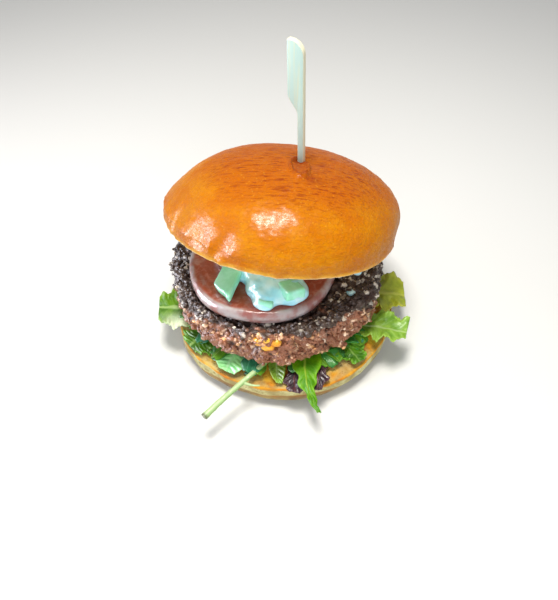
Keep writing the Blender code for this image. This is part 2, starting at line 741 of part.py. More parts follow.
def pick_outline():
    """The pick's flat outline, clockwise from its point: blade to the left, straight back to the right."""
    back, front = PICK_STEM_WIDTH / 2, -PICK_STEM_WIDTH / 2
    blade = back - PICK_BLADE_WIDTH
    neck_top = PICK_LENGTH - PICK_BLADE_LENGTH
    point = [(0, 0), (0.8 * front, 0.7 * PICK_POINT), (front, PICK_POINT)]
    neck = []
    for i in range(PICK_NECK_STEPS + 1):
        share = i / PICK_NECK_STEPS
        neck.append((front + (blade - front) * smoothstep(0, 1, share), neck_top - PICK_NECK * (1 - share)))
    edge = (PICK_EDGE, PICK_EDGE)
    sharp_corner = arc((blade + PICK_EDGE, PICK_LENGTH - PICK_EDGE), edge, start=180, end=90, steps=2)
    corner = (PICK_CORNER, PICK_CORNER)
    round_corner = arc((back - PICK_CORNER, PICK_LENGTH - PICK_CORNER), corner, start=90, end=0, steps=5)
    return point + neck + sharp_corner + round_corner + [(back, PICK_POINT), (0.8 * back, 0.7 * PICK_POINT)]


def pick_matrix():
    """The pick's place: its tip, its lean and the way its blade faces."""
    turn = Euler((0, PICK_LEAN, 0)).to_matrix().to_4x4() @ Matrix.Rotation(PICK_TURN, 4, "Z")
    return Matrix.Translation(PICK_TIP) @ turn


def make_pick():
    """The flat wooden pick, extruded from its outline and thinned towards its point."""
    bm = bmesh.new()
    face = bm.faces.new([bm.verts.new((x, -PICK_THICKNESS / 2, z)) for x, z in pick_outline()])
    grown = bmesh.ops.extrude_face_region(bm, geom=[face])
    moved = [item for item in grown["geom"] if isinstance(item, bmesh.types.BMVert)]
    bmesh.ops.translate(bm, vec=(0, PICK_THICKNESS, 0), verts=moved)
    bmesh.ops.recalc_face_normals(bm, faces=bm.faces)
    for vert in bm.verts:
        vert.co.y *= smoothstep(-PICK_POINT / 2, PICK_POINT, vert.co.z)
    bm.transform(pick_matrix())
    return add_object("paddle_pick", bm, "wood")


def make_pick_hole():
    """The hidden shape of the hole that the pick's stem makes in what it goes through."""
    room = PICK_HOLE_CLEARANCE
    bm = block((PICK_STEM_WIDTH + room, PICK_THICKNESS + room, PICK_LENGTH + room))
    bmesh.ops.translate(bm, vec=(0, 0, (PICK_LENGTH - room) / 2), verts=bm.verts)
    bm.transform(pick_matrix())
    return add_cutter("room_for_pick", bm)


def make_cucumber(name, centre, size, turn, slant):
    """One die of cucumber with eased edges, cut off at a slant in front."""
    bm = block(Vector(size) * MM)
    bmesh.ops.bevel(bm, geom=bm.edges[:], offset=CUCUMBER_EDGE, segments=2, profile=0.5, affect="EDGES")
    for vert in bm.verts:
        front_share = max(-vert.co.y / (size[1] / 2 * MM), 0)
        vert.co.y -= slant * vert.co.x * front_share
    turned_by = Euler([math.radians(a) for a in turn]).to_matrix().to_4x4()
    bm.transform(Matrix.Translation(Vector(centre) * MM) @ turned_by)
    return add_object(name, bm, "cucumber")


def make_sauce():
    """The dollop of white sauce: squashed balls joined, smoothed and thinned to fewer faces."""
    balls = []
    for i, (centre, radii) in enumerate(SAUCE_BALLS):
        bm = bmesh.new()
        bmesh.ops.create_icosphere(bm, subdivisions=3, radius=1)
        bmesh.ops.scale(bm, vec=Vector(radii) * MM, verts=bm.verts)
        bmesh.ops.translate(bm, vec=Vector(centre) * MM, verts=bm.verts)
        balls.append(add_object("white_sauce" if i == 0 else f"ball_{i}", bm, "sauce"))
    sauce = combine(balls[0], balls[1:], "UNION")
    even = sauce.modifiers.new("even faces", "REMESH")
    even.mode = "VOXEL"
    even.voxel_size = SAUCE_VOXEL
    soft = sauce.modifiers.new("soften", "SMOOTH")
    soft.factor = 0.6
    soft.iterations = 3
    fewer = sauce.modifiers.new("fewer faces", "DECIMATE")
    fewer.ratio = SAUCE_KEPT_SHARE
    apply_modifiers(sauce)
    return sauce


def main():
    """Build every piece and fit each one to its neighbours."""
    clear_scene()
    make_heel()
    bed = make_salad_bed()
    pockets = [make_pocket("stalk", STALK_ROUTE, STALK_RADII[0], 2 * STALK_RADII[0] * MM)]
    for leaf in LEAVES:
        make_leaf(leaf)
        pockets.append(make_pocket(leaf.name, leaf.route, max(leaf.half_widths[:2]), LEAF_THICKNESS))
    combine(bed, pockets, "DIFFERENCE", solver="MANIFOLD")
    make_stalk()
    patty = make_patty()
    tomato = make_tomato()
    crown = make_crown()
    dice = [make_room(make_cucumber(name, *values), [crown, tomato]) for name, values in CUCUMBER.items()]
    make_room(make_sauce(), [crown, tomato, *dice])
    make_pick()
    hole = make_pick_hole()
    for pierced in (crown, tomato, patty):
        cut_with(pierced, hole)


main()
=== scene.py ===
"""A veggie burger, dressed for a studio picture.

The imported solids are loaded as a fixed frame. Each is replaced by a finer piece of the same form and place.
Units are metres and +Z is up. The burger stands on the plane Z = 0, and its open front is -Y.
"""

import json
import logging
import math
import random
from collections.abc import Callable, Sequence
from dataclasses import dataclass, field
from enum import Enum

import bpy
from bpy.types import Material, NodeSocket, Object
from mathutils import Euler, Matrix, Vector, noise

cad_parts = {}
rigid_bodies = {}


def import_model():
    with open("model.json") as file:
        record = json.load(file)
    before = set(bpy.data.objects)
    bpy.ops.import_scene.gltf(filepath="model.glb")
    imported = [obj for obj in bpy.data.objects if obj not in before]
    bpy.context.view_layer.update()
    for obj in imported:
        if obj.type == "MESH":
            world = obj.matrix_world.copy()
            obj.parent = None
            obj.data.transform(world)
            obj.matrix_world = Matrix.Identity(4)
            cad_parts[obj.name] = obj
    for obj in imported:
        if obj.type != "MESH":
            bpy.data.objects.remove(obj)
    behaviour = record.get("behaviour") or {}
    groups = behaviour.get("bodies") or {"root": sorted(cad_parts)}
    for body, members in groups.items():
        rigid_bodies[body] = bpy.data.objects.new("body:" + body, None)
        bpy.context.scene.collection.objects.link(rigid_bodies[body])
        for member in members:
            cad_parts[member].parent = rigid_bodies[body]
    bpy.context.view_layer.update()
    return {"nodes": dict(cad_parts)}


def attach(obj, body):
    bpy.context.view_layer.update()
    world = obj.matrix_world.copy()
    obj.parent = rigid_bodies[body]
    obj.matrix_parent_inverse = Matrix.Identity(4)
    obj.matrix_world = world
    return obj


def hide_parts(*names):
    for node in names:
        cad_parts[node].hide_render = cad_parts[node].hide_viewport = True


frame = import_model()

MM = 0.001
BODY = "root"
NOISE_SEED = 7  # without it the vector noise starts from the clock
VEIN_SLOPE = 0.22  # how far a side vein runs ahead of its root, for each half width of the leaf

Colour = tuple[float, float, float]
Point = tuple[float, float, float]
Rule = Callable[[Vector, Vector], Vector]

log = logging.getLogger("burger")


class Slot(Enum):
    """The record's material slots."""

    CRUST = "crust"
    CRUMB = "crumb"
    PATTY = "patty"
    TOMATO = "tomato"
    SAUCE = "sauce"
    CUCUMBER = "cucumber"
    WOOD = "wood"
    STALK = "stalk"
    GREEN_LEAF = "green_leaf"
    PALE_LEAF = "pale_leaf"
    RED_LEAF = "red_leaf"


def smoothstep(low: float, high: float, value: float) -> float:
    """Rise from 0 at low to 1 at high, without a corner."""
    t = min(max((value - low) / (high - low), 0.0), 1.0)
    return t * t * (3 - 2 * t)


def bell(distance: float) -> float:
    """A soft hump that is 1 at distance 0 and has almost ended at distance 2."""
    return math.exp(-distance * distance)


def angle_of(point: Vector) -> float:
    """The point's angle round the Z axis."""
    return math.atan2(point.y, point.x)


def angle_between(first: float, second: float) -> float:
    """The smallest turn between two angles, without its sign."""
    return abs((first - second + math.pi) % math.tau - math.pi)


def arc(centre: tuple, radii: tuple, start: float, end: float, steps: int) -> list[tuple[float, float]]:
    """Points on an elliptic arc.

    Args:
        centre: The (radius, height) of the arc's centre.
        radii: The arc's two half axes.
        start: The first angle in degrees.
        end: The last angle in degrees.
        steps: How many stretches the arc is cut into.

    Returns:
        The (radius, height) points, both ends included.
    """
    angles = [math.radians(start + (end - start) * i / steps) for i in range(steps + 1)]
    return [(centre[0] + radii[0] * math.cos(a), centre[1] + radii[1] * math.sin(a)) for a in angles]


def along(start: tuple, end: tuple, steps: int) -> list[tuple[float, float]]:
    """Points from start towards end on a straight line, without either end."""
    return [tuple(a + (b - a) * i / steps for a, b in zip(start, end)) for i in range(1, steps)]


def smooth_route(points: Sequence, steps: int) -> list[Vector]:
    """Run a Catmull-Rom curve through points.

    Args:
        points: Points, or plain sizes, which become the x of the result.
        steps: How many even stretches the curve is cut into.

    Returns:
        The points on the curve, both ends included.
    """
    points = [Vector(p if isinstance(p, tuple) else (p, 0, 0)) for p in points]
    ends = [2 * points[0] - points[1], *points, 2 * points[-1] - points[-2]]
    found = []
    for i in range(steps + 1):
        place = i / steps * (len(points) - 1)
        k = min(int(place), len(points) - 2)
        t = place - k
        a, b, c, d = ends[k : k + 4]
        found.append(
            0.5 * (2 * b + (c - a) * t + (2 * a - 5 * b + 4 * c - d) * t**2 + (3 * b - a - 3 * c + d) * t**3)
        )
    return found


def ripple(place: Vector, depth: float, size: float) -> float:
    """Soft noise of about -depth to depth, whose swellings are about size wide."""
    return depth * noise.noise(place / size)


def granule(point: Vector, size: float) -> tuple[float, float]:
    """Look up a field of rounded grains.

    Args:
        point: Where to look.
        size: The grains' rough size.

    Returns:
        The height of the grain there, from 0 in a gap to 1 on its crest, and the grain's own random number.
    """
    distances, centres = noise.voronoi(point / size)
    height = 1 - min(distances[0] / 0.75, 1.0) ** 2
    return height, noise.cell(centres[0] * 97)


def deselect() -> None:
    """Leave nothing selected, so that the next operator acts on its own piece alone."""
    if bpy.context.object and bpy.context.object.mode != "OBJECT":
        bpy.ops.object.mode_set(mode="OBJECT")
    bpy.ops.object.select_all(action="DESELECT")


def activate(piece: Object) -> None:
    """Make a piece the only selected and the active one.

    Args:
        piece: The piece.
    """
    deselect()
    piece.select_set(True)
    bpy.context.view_layer.objects.active = piece


def primitive(name: str, add: Callable, **sizes: object) -> Object:
    """Add a primitive.

    Args:
        name: The new object's name.
        add: The operator that adds it.
        **sizes: The operator's settings.

    Returns:
        The new object, which is the active one.
    """
    deselect()
    add(**sizes)
    made = bpy.context.object
    made.name = name
    made.data.name = name
    return made


def edit(piece: Object, mode: str = "VERT") -> None:
    """Enter edit mode with everything selected.

    Args:
        piece: The piece.
        mode: What is selected: VERT, EDGE or FACE.
    """
    activate(piece)
    bpy.ops.object.mode_set(mode="EDIT")
    bpy.ops.mesh.select_mode(type=mode)
    bpy.ops.mesh.select_all(action="SELECT")


def leave_edit() -> None:
    """Go back to object mode."""
    bpy.ops.object.mode_set(mode="OBJECT")


def modify(piece: Object, kind: str, **settings: object) -> None:
    """Add a modifier with these settings and apply it.

    Args:
        piece: The piece.
        kind: The modifier's type.
        **settings: Its settings by name.
    """
    activate(piece)
    bpy.ops.object.modifier_add(type=kind)
    modifier = piece.modifiers[-1]
    for name, value in settings.items():
        setattr(modifier, name, value)
    bpy.ops.object.modifier_apply(modifier=modifier.name)


def lathe(name: str, profile: Sequence[tuple[float, float]], segments: int) -> Object:
    """Spin a profile into a closed round shell.

    Args:
        name: The new object's name.
        profile: (radius, height) points that start and end on the Z axis, from the underside to the top.
        segments: How many steps the full turn has.

    Returns:
        The new object, with its faces outward.
    """
    made = primitive(name, bpy.ops.mesh.primitive_plane_add, size=MM, location=(0, 0, 0))
    edit(made)
    bpy.ops.mesh.merge(type="CENTER")
    bpy.ops.transform.translate(value=(profile[0][0], 0, profile[0][1]))
    for (radius, height), (next_radius, next_height) in zip(profile, profile[1:]):
        step = (next_radius - radius, 0, next_height - height)
        bpy.ops.mesh.extrude_vertices_move(TRANSFORM_OT_translate={"value": step})
    bpy.ops.mesh.select_all(action="SELECT")
    bpy.ops.mesh.spin(steps=segments, angle=math.tau, center=(0, 0, 0), axis=(0, 0, 1))
    bpy.ops.mesh.select_all(action="SELECT")
    bpy.ops.mesh.remove_doubles(threshold=MM / 100)
    bpy.ops.mesh.normals_make_consistent(inside=False)
    leave_edit()
    return made


def sculpt(piece: Object, rule: Rule) -> None:
    """Move every vertex of a piece.

    Args:
        piece: The piece, whose object sits at the origin.
        rule: Gives a vertex's new place from its old place and its normal.
    """
    mesh = piece.data
    before = [(vert.co.copy(), vert.normal.copy()) for vert in mesh.vertices]
    for vert, (place, normal) in zip(mesh.vertices, before):
        vert.co = rule(place, normal)
    mesh.update()


def paint(piece: Object, name: str, rule: Callable[[Vector, Vector], float]) -> None:
    """Give every vertex a number that a material reads.

    Args:
        piece: The piece.
        name: The attribute's name.
        rule: Gives the number from the vertex's place and normal.
    """
    values = [rule(vert.co, vert.normal) for vert in piece.data.vertices]
    piece.data.attributes.new(name, "FLOAT", "POINT").data.foreach_set("value", values)


def paint_list(piece: Object, name: str, values: Sequence[float]) -> None:
    """Give every vertex the number that a list holds for it."""
    piece.data.attributes.new(name, "FLOAT", "POINT").data.foreach_set("value", values)


def place(piece: Object, matrix: Matrix) -> None:
    """Move a piece's mesh, while its object stays at the origin."""
    piece.data.transform(matrix)
    piece.data.update()


def settle(piece: Object, sharp: float = 50.0) -> Object:
    """Put a finished piece's object at the origin, unturned and unscaled, and shade it smooth.

    Args:
        piece: The piece.
        sharp: Edges that bend more than this, in degrees, stay sharp.

    Returns:
        The same piece.
    """
    activate(piece)
    bpy.ops.object.transform_apply(location=True, rotation=True, scale=True)
    bpy.ops.object.shade_smooth_by_angle(angle=math.radians(sharp))
    return piece


def join(pieces: Sequence[Object], name: str) -> Object:
    """Make one mesh of several pieces, under a new name.

    Args:
        pieces: The pieces.
        name: The new name.

    Returns:
        The joined piece.
    """
    deselect()
    for piece in pieces:
        piece.select_set(True)
    bpy.context.view_layer.objects.active = pieces[0]
    bpy.ops.object.join()
    pieces[0].name = name
    return pieces[0]


def scatter(template: Object, places: Sequence[Matrix], name: str, tones: Sequence[float]) -> Object:
    """Copy one small shape to many places, as one mesh.

    Args:
        template: The shape, which is removed afterwards.
        places: Where each copy goes.
        name: The new object's name.
        tones: Each copy's own number, kept in the attribute tone.

    Returns:
        The joined piece.
    """
    points = [vert.co.copy() for vert in template.data.vertices]
    faces = [tuple(face.vertices) for face in template.data.polygons]
    all_points, all_faces, all_tones = [], [], []
    for matrix, tone in zip(places, tones):
        first = len(all_points)
        all_points += [matrix @ point for point in points]
        all_faces += [tuple(first + i for i in face) for face in faces]
        all_tones += [tone] * len(points)
    mesh = bpy.data.meshes.new(name)
    mesh.from_pydata(all_points, [], all_faces)
    mesh.attributes.new("tone", "FLOAT", "POINT").data.foreach_set("value", all_tones)
    made = bpy.data.objects.new(name, mesh)
    bpy.context.scene.collection.objects.link(made)
    bpy.data.objects.remove(template, do_unlink=True)
    return made


class Sheet:
    """A node tree, with short methods for the nodes that the finishes use."""

    def __init__(self, tree: bpy.types.NodeTree) -> None:
        """Start on an existing tree."""
        self.tree = tree

    def add(self, kind: str, inputs: dict | None = None, **settings: object) -> bpy.types.Node:
        """Add a node.

        Args:
            kind: The node's type.
            inputs: Values or sockets for its inputs, by name or index.
            **settings: Its other properties.

        Returns:
            The new node.
        """
        node = self.tree.nodes.new(kind)
        for name, value in settings.items():
            setattr(node, name, value)
        for key, value in (inputs or {}).items():
            if isinstance(value, NodeSocket):
                self.tree.links.new(value, node.inputs[key])
            else:
                node.inputs[key].default_value = value
        return node

    def objects(self, scale: Point = (1, 1, 1), turn: Point = (0, 0, 0)) -> NodeSocket:
        """Object coordinates, stretched by a scale and turned.

        Args:
            scale: The scale along each axis.
            turn: The turn round each axis, in radians.

        Returns:
            The coordinates.
        """
        coordinates = self.add("ShaderNodeTexCoord").outputs["Object"]
        inputs = {"Vector": coordinates, "Scale": scale, "Rotation": turn}
        return self.add("ShaderNodeMapping", inputs).outputs[0]

    def uv(self) -> NodeSocket:
        """The piece's own UV coordinates."""
        return self.add("ShaderNodeTexCoord").outputs["UV"]

    def value(self, attribute: str) -> NodeSocket:
        """A number painted on the piece."""
        return self.add("ShaderNodeAttribute", attribute_name=attribute).outputs["Fac"]

    def maths(self, operation: str, *values: object) -> NodeSocket:
        """The result of a Math node."""
        return self.add("ShaderNodeMath", dict(enumerate(values)), operation=operation).outputs[0]

    def noise(self, vector: NodeSocket, scale: float, detail: float = 3, distortion: float = 0) -> NodeSocket:
        """Soft noise from 0 to 1. The scale is in cells a metre."""
        inputs = {"Vector": vector, "Scale": scale, "Detail": detail, "Distortion": distortion}
        return self.add("ShaderNodeTexNoise", inputs).outputs["Fac"]

    def cells(self, vector: NodeSocket, scale: float, feature: str = "F1") -> NodeSocket:
        """The distance to the nearest cell's centre, or to its edge."""
        inputs = {"Vector": vector, "Scale": scale}
        return self.add("ShaderNodeTexVoronoi", inputs, feature=feature).outputs["Distance"]

    def span(self, value: NodeSocket, low: float, high: float) -> NodeSocket:
        """0 at low and below it, 1 at high and above it, with a smooth rise between them."""
        inputs = {"Value": value, "From Min": low, "From Max": high}
        return self.add("ShaderNodeMapRange", inputs, interpolation_type="SMOOTHSTEP").outputs["Result"]

    def mix(self, share: object, first: object, second: object, blend: str = "MIX") -> NodeSocket:
        """A mix of two colours."""
        inputs = {0: share, 6: solid(first), 7: solid(second)}
        return self.add("ShaderNodeMix", inputs, data_type="RGBA", blend_type=blend).outputs[2]

    def mottle(
        self, vector: NodeSocket, scale: float, detail: float, first: Colour, second: Colour
    ) -> NodeSocket:
        """Two colours in soft blotches, from the shared group."""
        inputs = {"Vector": vector, "Scale": scale, "Detail": detail, "First": first, "Second": second}
        return self.group(MOTTLE, **inputs).outputs["Colour"]

    def pores(self, vector: NodeSocket, scale: float) -> NodeSocket:
        """Small round pits, from the shared group. The result is 1 between the pits."""
        return self.group(PORES, Vector=vector, Scale=scale).outputs["Height"]

    def share(self, mask: NodeSocket, most: float) -> NodeSocket:
        """A mask that reaches only a part of its strength."""
        return self.maths("MULTIPLY", mask, most)

    def bump(self, height: NodeSocket, distance: float, strength: float = 1.0) -> NodeSocket:
        """The normal of a surface with this height, whose relief is distance deep."""
        inputs = {"Height": height, "Distance": distance, "Strength": strength}
        return self.add("ShaderNodeBump", inputs).outputs["Normal"]

    def group(self, tree: bpy.types.NodeTree, **inputs: object) -> bpy.types.Node:
        """Place a shared node group. An underscore in an input's name stands for a space.

        Args:
            tree: The group's node tree.
            **inputs: Values or sockets for its inputs.

        Returns:
            The group's node.
        """
        node = self.tree.nodes.new("ShaderNodeGroup")
        node.node_tree = tree
        for name, value in inputs.items():
            socket = node.inputs[name.replace("_", " ")]
            if isinstance(value, NodeSocket):
                self.tree.links.new(value, socket)
            else:
                socket.default_value = solid(value)
        return node


def solid(colour: object) -> object:
    """Add the fourth number to a plain colour, and let everything else through."""
    return (*colour, 1.0) if isinstance(colour, tuple) and len(colour) == 3 else colour


def new_group(name: str, inputs: dict[str, str], outputs: dict[str, str]) -> tuple[Sheet, dict, dict]:
    """Start a shared node group.

    Args:
        name: The group's name.
        inputs: The type of each input by its name.
        outputs: The type of each output by its name.

    Returns:
        The group's sheet, the sockets that bring its inputs and the sockets that take its outputs.
    """
    tree = bpy.data.node_groups.new(name, "ShaderNodeTree")
    for label, kind in inputs.items():
        tree.interface.new_socket(label, in_out="INPUT", socket_type=f"NodeSocket{kind}")
    for label, kind in outputs.items():
        tree.interface.new_socket(label, in_out="OUTPUT", socket_type=f"NodeSocket{kind}")
    start, end = tree.nodes.new("NodeGroupInput"), tree.nodes.new("NodeGroupOutput")
    return Sheet(tree), start.outputs, end.inputs


def make_mottle() -> bpy.types.NodeTree:
    """The shared group that blends two colours in soft blotches.

    Returns:
        The group's node tree.
    """
    inputs = {"Vector": "Vector", "Scale": "Float", "Detail": "Float", "First": "Color", "Second": "Color"}
    sheet, given, wanted = new_group("mottle", inputs, {"Colour": "Color", "Mask": "Float"})
    blotches = sheet.noise(given["Vector"], given["Scale"], given["Detail"])
    mask = sheet.span(blotches, 0.36, 0.64)
    sheet.tree.links.new(mask, wanted["Mask"])
    sheet.tree.links.new(sheet.mix(mask, given["First"], given["Second"]), wanted["Colour"])
    return sheet.tree


def make_pores() -> bpy.types.NodeTree:
    """The shared group that makes small round pits of mixed sizes. Its height is 1 between the pits.

    Returns:
        The group's node tree.
    """
    sheet, given, wanted = new_group("pores", {"Vector": "Vector", "Scale": "Float"}, {"Height": "Float"})
    large = sheet.span(sheet.cells(given["Vector"], given["Scale"]), 0.08, 0.42)
    finer = sheet.maths("MULTIPLY", given["Scale"], 2.7)
    small = sheet.span(sheet.cells(given["Vector"], finer), 0.05, 0.4)
    sheet.tree.links.new(sheet.maths("MULTIPLY", large, small), wanted["Height"])
    return sheet.tree


def make_veins() -> bpy.types.NodeTree:
    """The shared group that draws a leaf's midrib and side veins on its UV map.

    Returns:
        The group's node tree.
    """
    inputs = {"UV": "Vector", "Branches": "Float", "Slope": "Float"}
    sheet, given, wanted = new_group("veins", inputs, {"Midrib": "Float", "Vein": "Float"})
    parts = sheet.add("ShaderNodeSeparateXYZ", {0: given["UV"]}).outputs
    across = sheet.maths("ABSOLUTE", sheet.maths("MULTIPLY_ADD", parts["X"], 2.0, -1.0))
    midrib = sheet.span(across, 0.12, 0.03)
    lean = sheet.maths("MULTIPLY", across, given["Slope"])
    along_rib = sheet.maths("SUBTRACT", parts["Y"], lean)
    phase = sheet.maths("FRACT", sheet.maths("MULTIPLY", along_rib, given["Branches"]))
    from_vein = sheet.maths("ABSOLUTE", sheet.maths("SUBTRACT", phase, 0.5))
    sheet.tree.links.new(midrib, wanted["Midrib"])
    sheet.tree.links.new(sheet.span(from_vein, 0.1, 0.0), wanted["Vein"])
    return sheet.tree


MOTTLE = make_mottle()
PORES = make_pores()
VEINS = make_veins()


@dataclass(frozen=True)
class Finish:
    """What every finish shares: a name, a gloss and a thin clear coat."""

    name: str
    roughness: float
    coat: float = 0.0
    coat_roughness: float = 0.1
    coat_ior: float = 1.5
    specular: float = 0.5
    tint: Colour = (1.0, 1.0, 1.0)
    subsurface: float = 0.0
    scatter: Colour = (1.0, 0.5, 0.3)
    scatter_depth: float = 2 * MM

    def start(self) -> tuple[Material, Sheet, bpy.types.Node]:
        """Make the material with its own numbers set on the shader.

        Returns:
            The material, its sheet and its Principled shader.
        """
        made = bpy.data.materials.new(self.name)
        made.use_nodes = True
        shader = made.node_tree.nodes["Principled BSDF"]
        shader.inputs["Roughness"].default_value = self.roughness
        shader.inputs["Coat Weight"].default_value = self.coat
        shader.inputs["Coat Roughness"].default_value = self.coat_roughness
        shader.inputs["Coat IOR"].default_value = self.coat_ior
        shader.inputs["Specular IOR Level"].default_value = self.specular
        shader.inputs["Specular Tint"].default_value = solid(self.tint)
        shader.inputs["Subsurface Weight"].default_value = self.subsurface
        shader.inputs["Subsurface Radius"].default_value = self.scatter
        shader.inputs["Subsurface Scale"].default_value = self.scatter_depth
        return made, Sheet(made.node_tree), shader

    def wire(self, sheet: Sheet, shader: bpy.types.Node, **sockets: NodeSocket) -> None:
        """Link sockets to the shader. An underscore in a name stands for a space."""
        for name, socket in sockets.items():
            sheet.tree.links.new(socket, shader.inputs[name.replace("_", " ")])


@dataclass(frozen=True)
class CrustFinish(Finish):
    """A glazed brioche crust: amber, redder and streaked on the dome, paler at the rim, over soft crumb whose
    pores are darkened as painted shade.
    """

    amber: Colour = (0.57, 0.20, 0.001)
    deep: Colour = (0.50, 0.135, 0.001)
    top: Colour = (0.44, 0.088, 0.001)
    brown: Colour = (0.24, 0.03, 0.002)
    gold: Colour = (0.80, 0.40, 0.03)
    crumb: Colour = (0.86, 0.62, 0.33)
    pore: Colour = (0.62, 0.36, 0.14)

    def make(self) -> Material:
        """Build the material. It reads the painted numbers rise, crust, rim and pucker.

        Returns:
            The material.
        """
        made, sheet, shader = self.start()
        where = sheet.objects()
        along_skin = sheet.objects(scale=(170, 950, 950))
        streaks = sheet.span(sheet.noise(along_skin, 1.0, 4, 0.5), 0.5, 0.64)
        grain = sheet.span(sheet.noise(sheet.objects(scale=(500, 800, 800)), 1.0, 4, 0.5), 0.42, 0.62)
        crust = sheet.value("crust")
        on_top = sheet.span(sheet.value("rise"), 0.5, 0.97)
        colour = sheet.mottle(where, 70.0, 5.0, self.amber, self.deep)
        colour = sheet.mix(sheet.share(on_top, 0.8), colour, self.top)
        colour = sheet.mix(sheet.share(grain, 0.45), colour, self.deep)
        streaked = sheet.maths("MULTIPLY", streaks, sheet.maths("MULTIPLY_ADD", on_top, 0.75, 0.08))
        colour = sheet.mix(sheet.maths("MAXIMUM", streaked, sheet.value("pucker")), colour, self.brown)
        specks = sheet.span(sheet.cells(where, 430.0), 0.2, 0.08)
        colour = sheet.mix(sheet.share(specks, 0.28), colour, self.gold)
        rim = sheet.maths("MULTIPLY", sheet.value("rim"), sheet.span(sheet.noise(where, 130.0), 0.3, 0.6))
        colour = sheet.mix(rim, colour, self.gold)
        pores = sheet.pores(where, 380.0)
        # Painted shade: the crumb goes darker in its pores.
        bread = sheet.mix(pores, self.pore, self.crumb)
        colour = sheet.mix(crust, bread, colour)
        wrinkles = sheet.span(sheet.noise(sheet.objects(scale=(620, 900, 900)), 1.0, 5, 0.8), 0.34, 0.66)
        relief = sheet.mix(crust, pores, sheet.maths("ADD", wrinkles, sheet.share(specks, 0.25)))
        crackle = sheet.span(sheet.cells(where, 620.0, "DISTANCE_TO_EDGE"), 0.0, 0.2)
        glaze = sheet.maths("MULTIPLY", sheet.maths("MULTIPLY_ADD", crackle, 0.6, 0.4), wrinkles)
        self.wire(
            sheet,
            shader,
            Base_Color=colour,
            Roughness=sheet.maths("MULTIPLY_ADD", crust, self.roughness - 0.8, 0.8),
            Coat_Weight=sheet.maths("MULTIPLY", crust, sheet.maths("MULTIPLY_ADD", glaze, self.coat, 0.04)),
            Normal=sheet.bump(relief, 0.3 * MM, 0.7),
        )
        return made


@dataclass(frozen=True)
class HeelFinish(Finish):
    """The heel: a tan foot crust darkened as painted shade, a pale crumb side mottled and pitted with painted
    shade, and a toasted cut face.
    """

    # The foot's colour is its tan crust, darkened as painted shade. The colour named shade is painted shade
    # for the crumb and the foot.
    foot: Colour = (0.20, 0.145, 0.085)
    cream: Colour = (0.62, 0.59, 0.29)
    shade: Colour = (0.38, 0.30, 0.12)
    toast: Colour = (0.60, 0.20, 0.012)
    gold: Colour = (0.80, 0.43, 0.035)
    line: Colour = (0.34, 0.16, 0.04)

    def make(self) -> Material:
        """Build the material. It reads the painted numbers crust, cut, fold and pale.

        Returns:
            The material.
        """
        made, sheet, shader = self.start()
        where = sheet.objects()
        crust, cut = sheet.value("crust"), sheet.value("cut")
        pores = sheet.pores(where, 330.0)
        # Painted shade: the crumb side is mottled with the shade colour and goes to it in its pores.
        crumb = sheet.mottle(where, 120.0, 4.0, self.shade, self.cream)
        crumb = sheet.mix(pores, self.shade, crumb)
        face = sheet.mottle(where, 95.0, 6.0, self.toast, self.gold)
        spots = sheet.span(sheet.noise(where, 210.0, 5), 0.5, 0.66)
        toasted = sheet.mix(sheet.share(spots, 0.5), face, self.line)
        toasted = sheet.mix(sheet.value("pale"), toasted, crumb)
        colour = sheet.mix(cut, crumb, toasted)
        # Painted shade: the foot's crust is mottled between its darkened tan and the shade colour.
        skin = sheet.mottle(where, 140.0, 4.0, self.foot, self.shade)
        colour = sheet.mix(crust, colour, skin)
        colour = sheet.mix(sheet.value("fold"), colour, self.line)
        fine = sheet.noise(where, 1300.0, 3)
        relief = sheet.mix(crust, pores, fine)
        self.wire(
            sheet,
            shader,
            Base_Color=colour,
            Roughness=sheet.maths("MULTIPLY_ADD", crust, -0.25, self.roughness),
            Normal=sheet.bump(relief, 0.3 * MM, 0.7),
        )
        return made


@dataclass(frozen=True)
class PattyFinish(Finish):
    """Fried grains: pinkish brown on the side, charred with pale flecks on the top, with painted shade in the
    gaps between the grains.
    """

    # Near black painted shade for the gaps between the grains.
    gap: Colour = (0.045, 0.018, 0.012)
    brown: Colour = (0.35, 0.135, 0.07)
    pink: Colour = (1.0, 0.76, 0.58)
    orange: Colour = (1.0, 0.52, 0.20)
    char: Colour = (0.066, 0.037, 0.026)
    ash: Colour = (0.74, 0.65, 0.54)

    def make(self) -> Material:
        """Build the material. It reads the painted numbers tone, depth and char.

        Returns:
            The material.
        """
        made, sheet, shader = self.start()
        where = sheet.objects()
        tone, depth, char = sheet.value("tone"), sheet.value("depth"), sheet.value("char")
        warm = sheet.mottle(where, 150.0, 5.0, self.pink, self.orange)
        side = sheet.mix(sheet.span(tone, 0.2, 0.6), self.brown, warm)
        burnt = sheet.mix(sheet.span(tone, 0.32, 0.66), self.char, self.ash)
        colour = sheet.mix(char, side, burnt)
        # Painted shade: where the grains sit low, the colour goes to the dark gap colour.
        colour = sheet.mix(sheet.span(depth, 0.5, 0.15), colour, self.gap)
        fine = sheet.maths("ADD", sheet.noise(where, 2300.0, 4), sheet.cells(where, 1100.0))
        self.wire(
            sheet,
            shader,
            Base_Color=colour,
            Roughness=sheet.maths("MULTIPLY_ADD", sheet.noise(where, 420.0), 0.6, self.roughness - 0.4),
            Normal=sheet.bump(fine, 0.35 * MM, 0.7),
        )
        return made


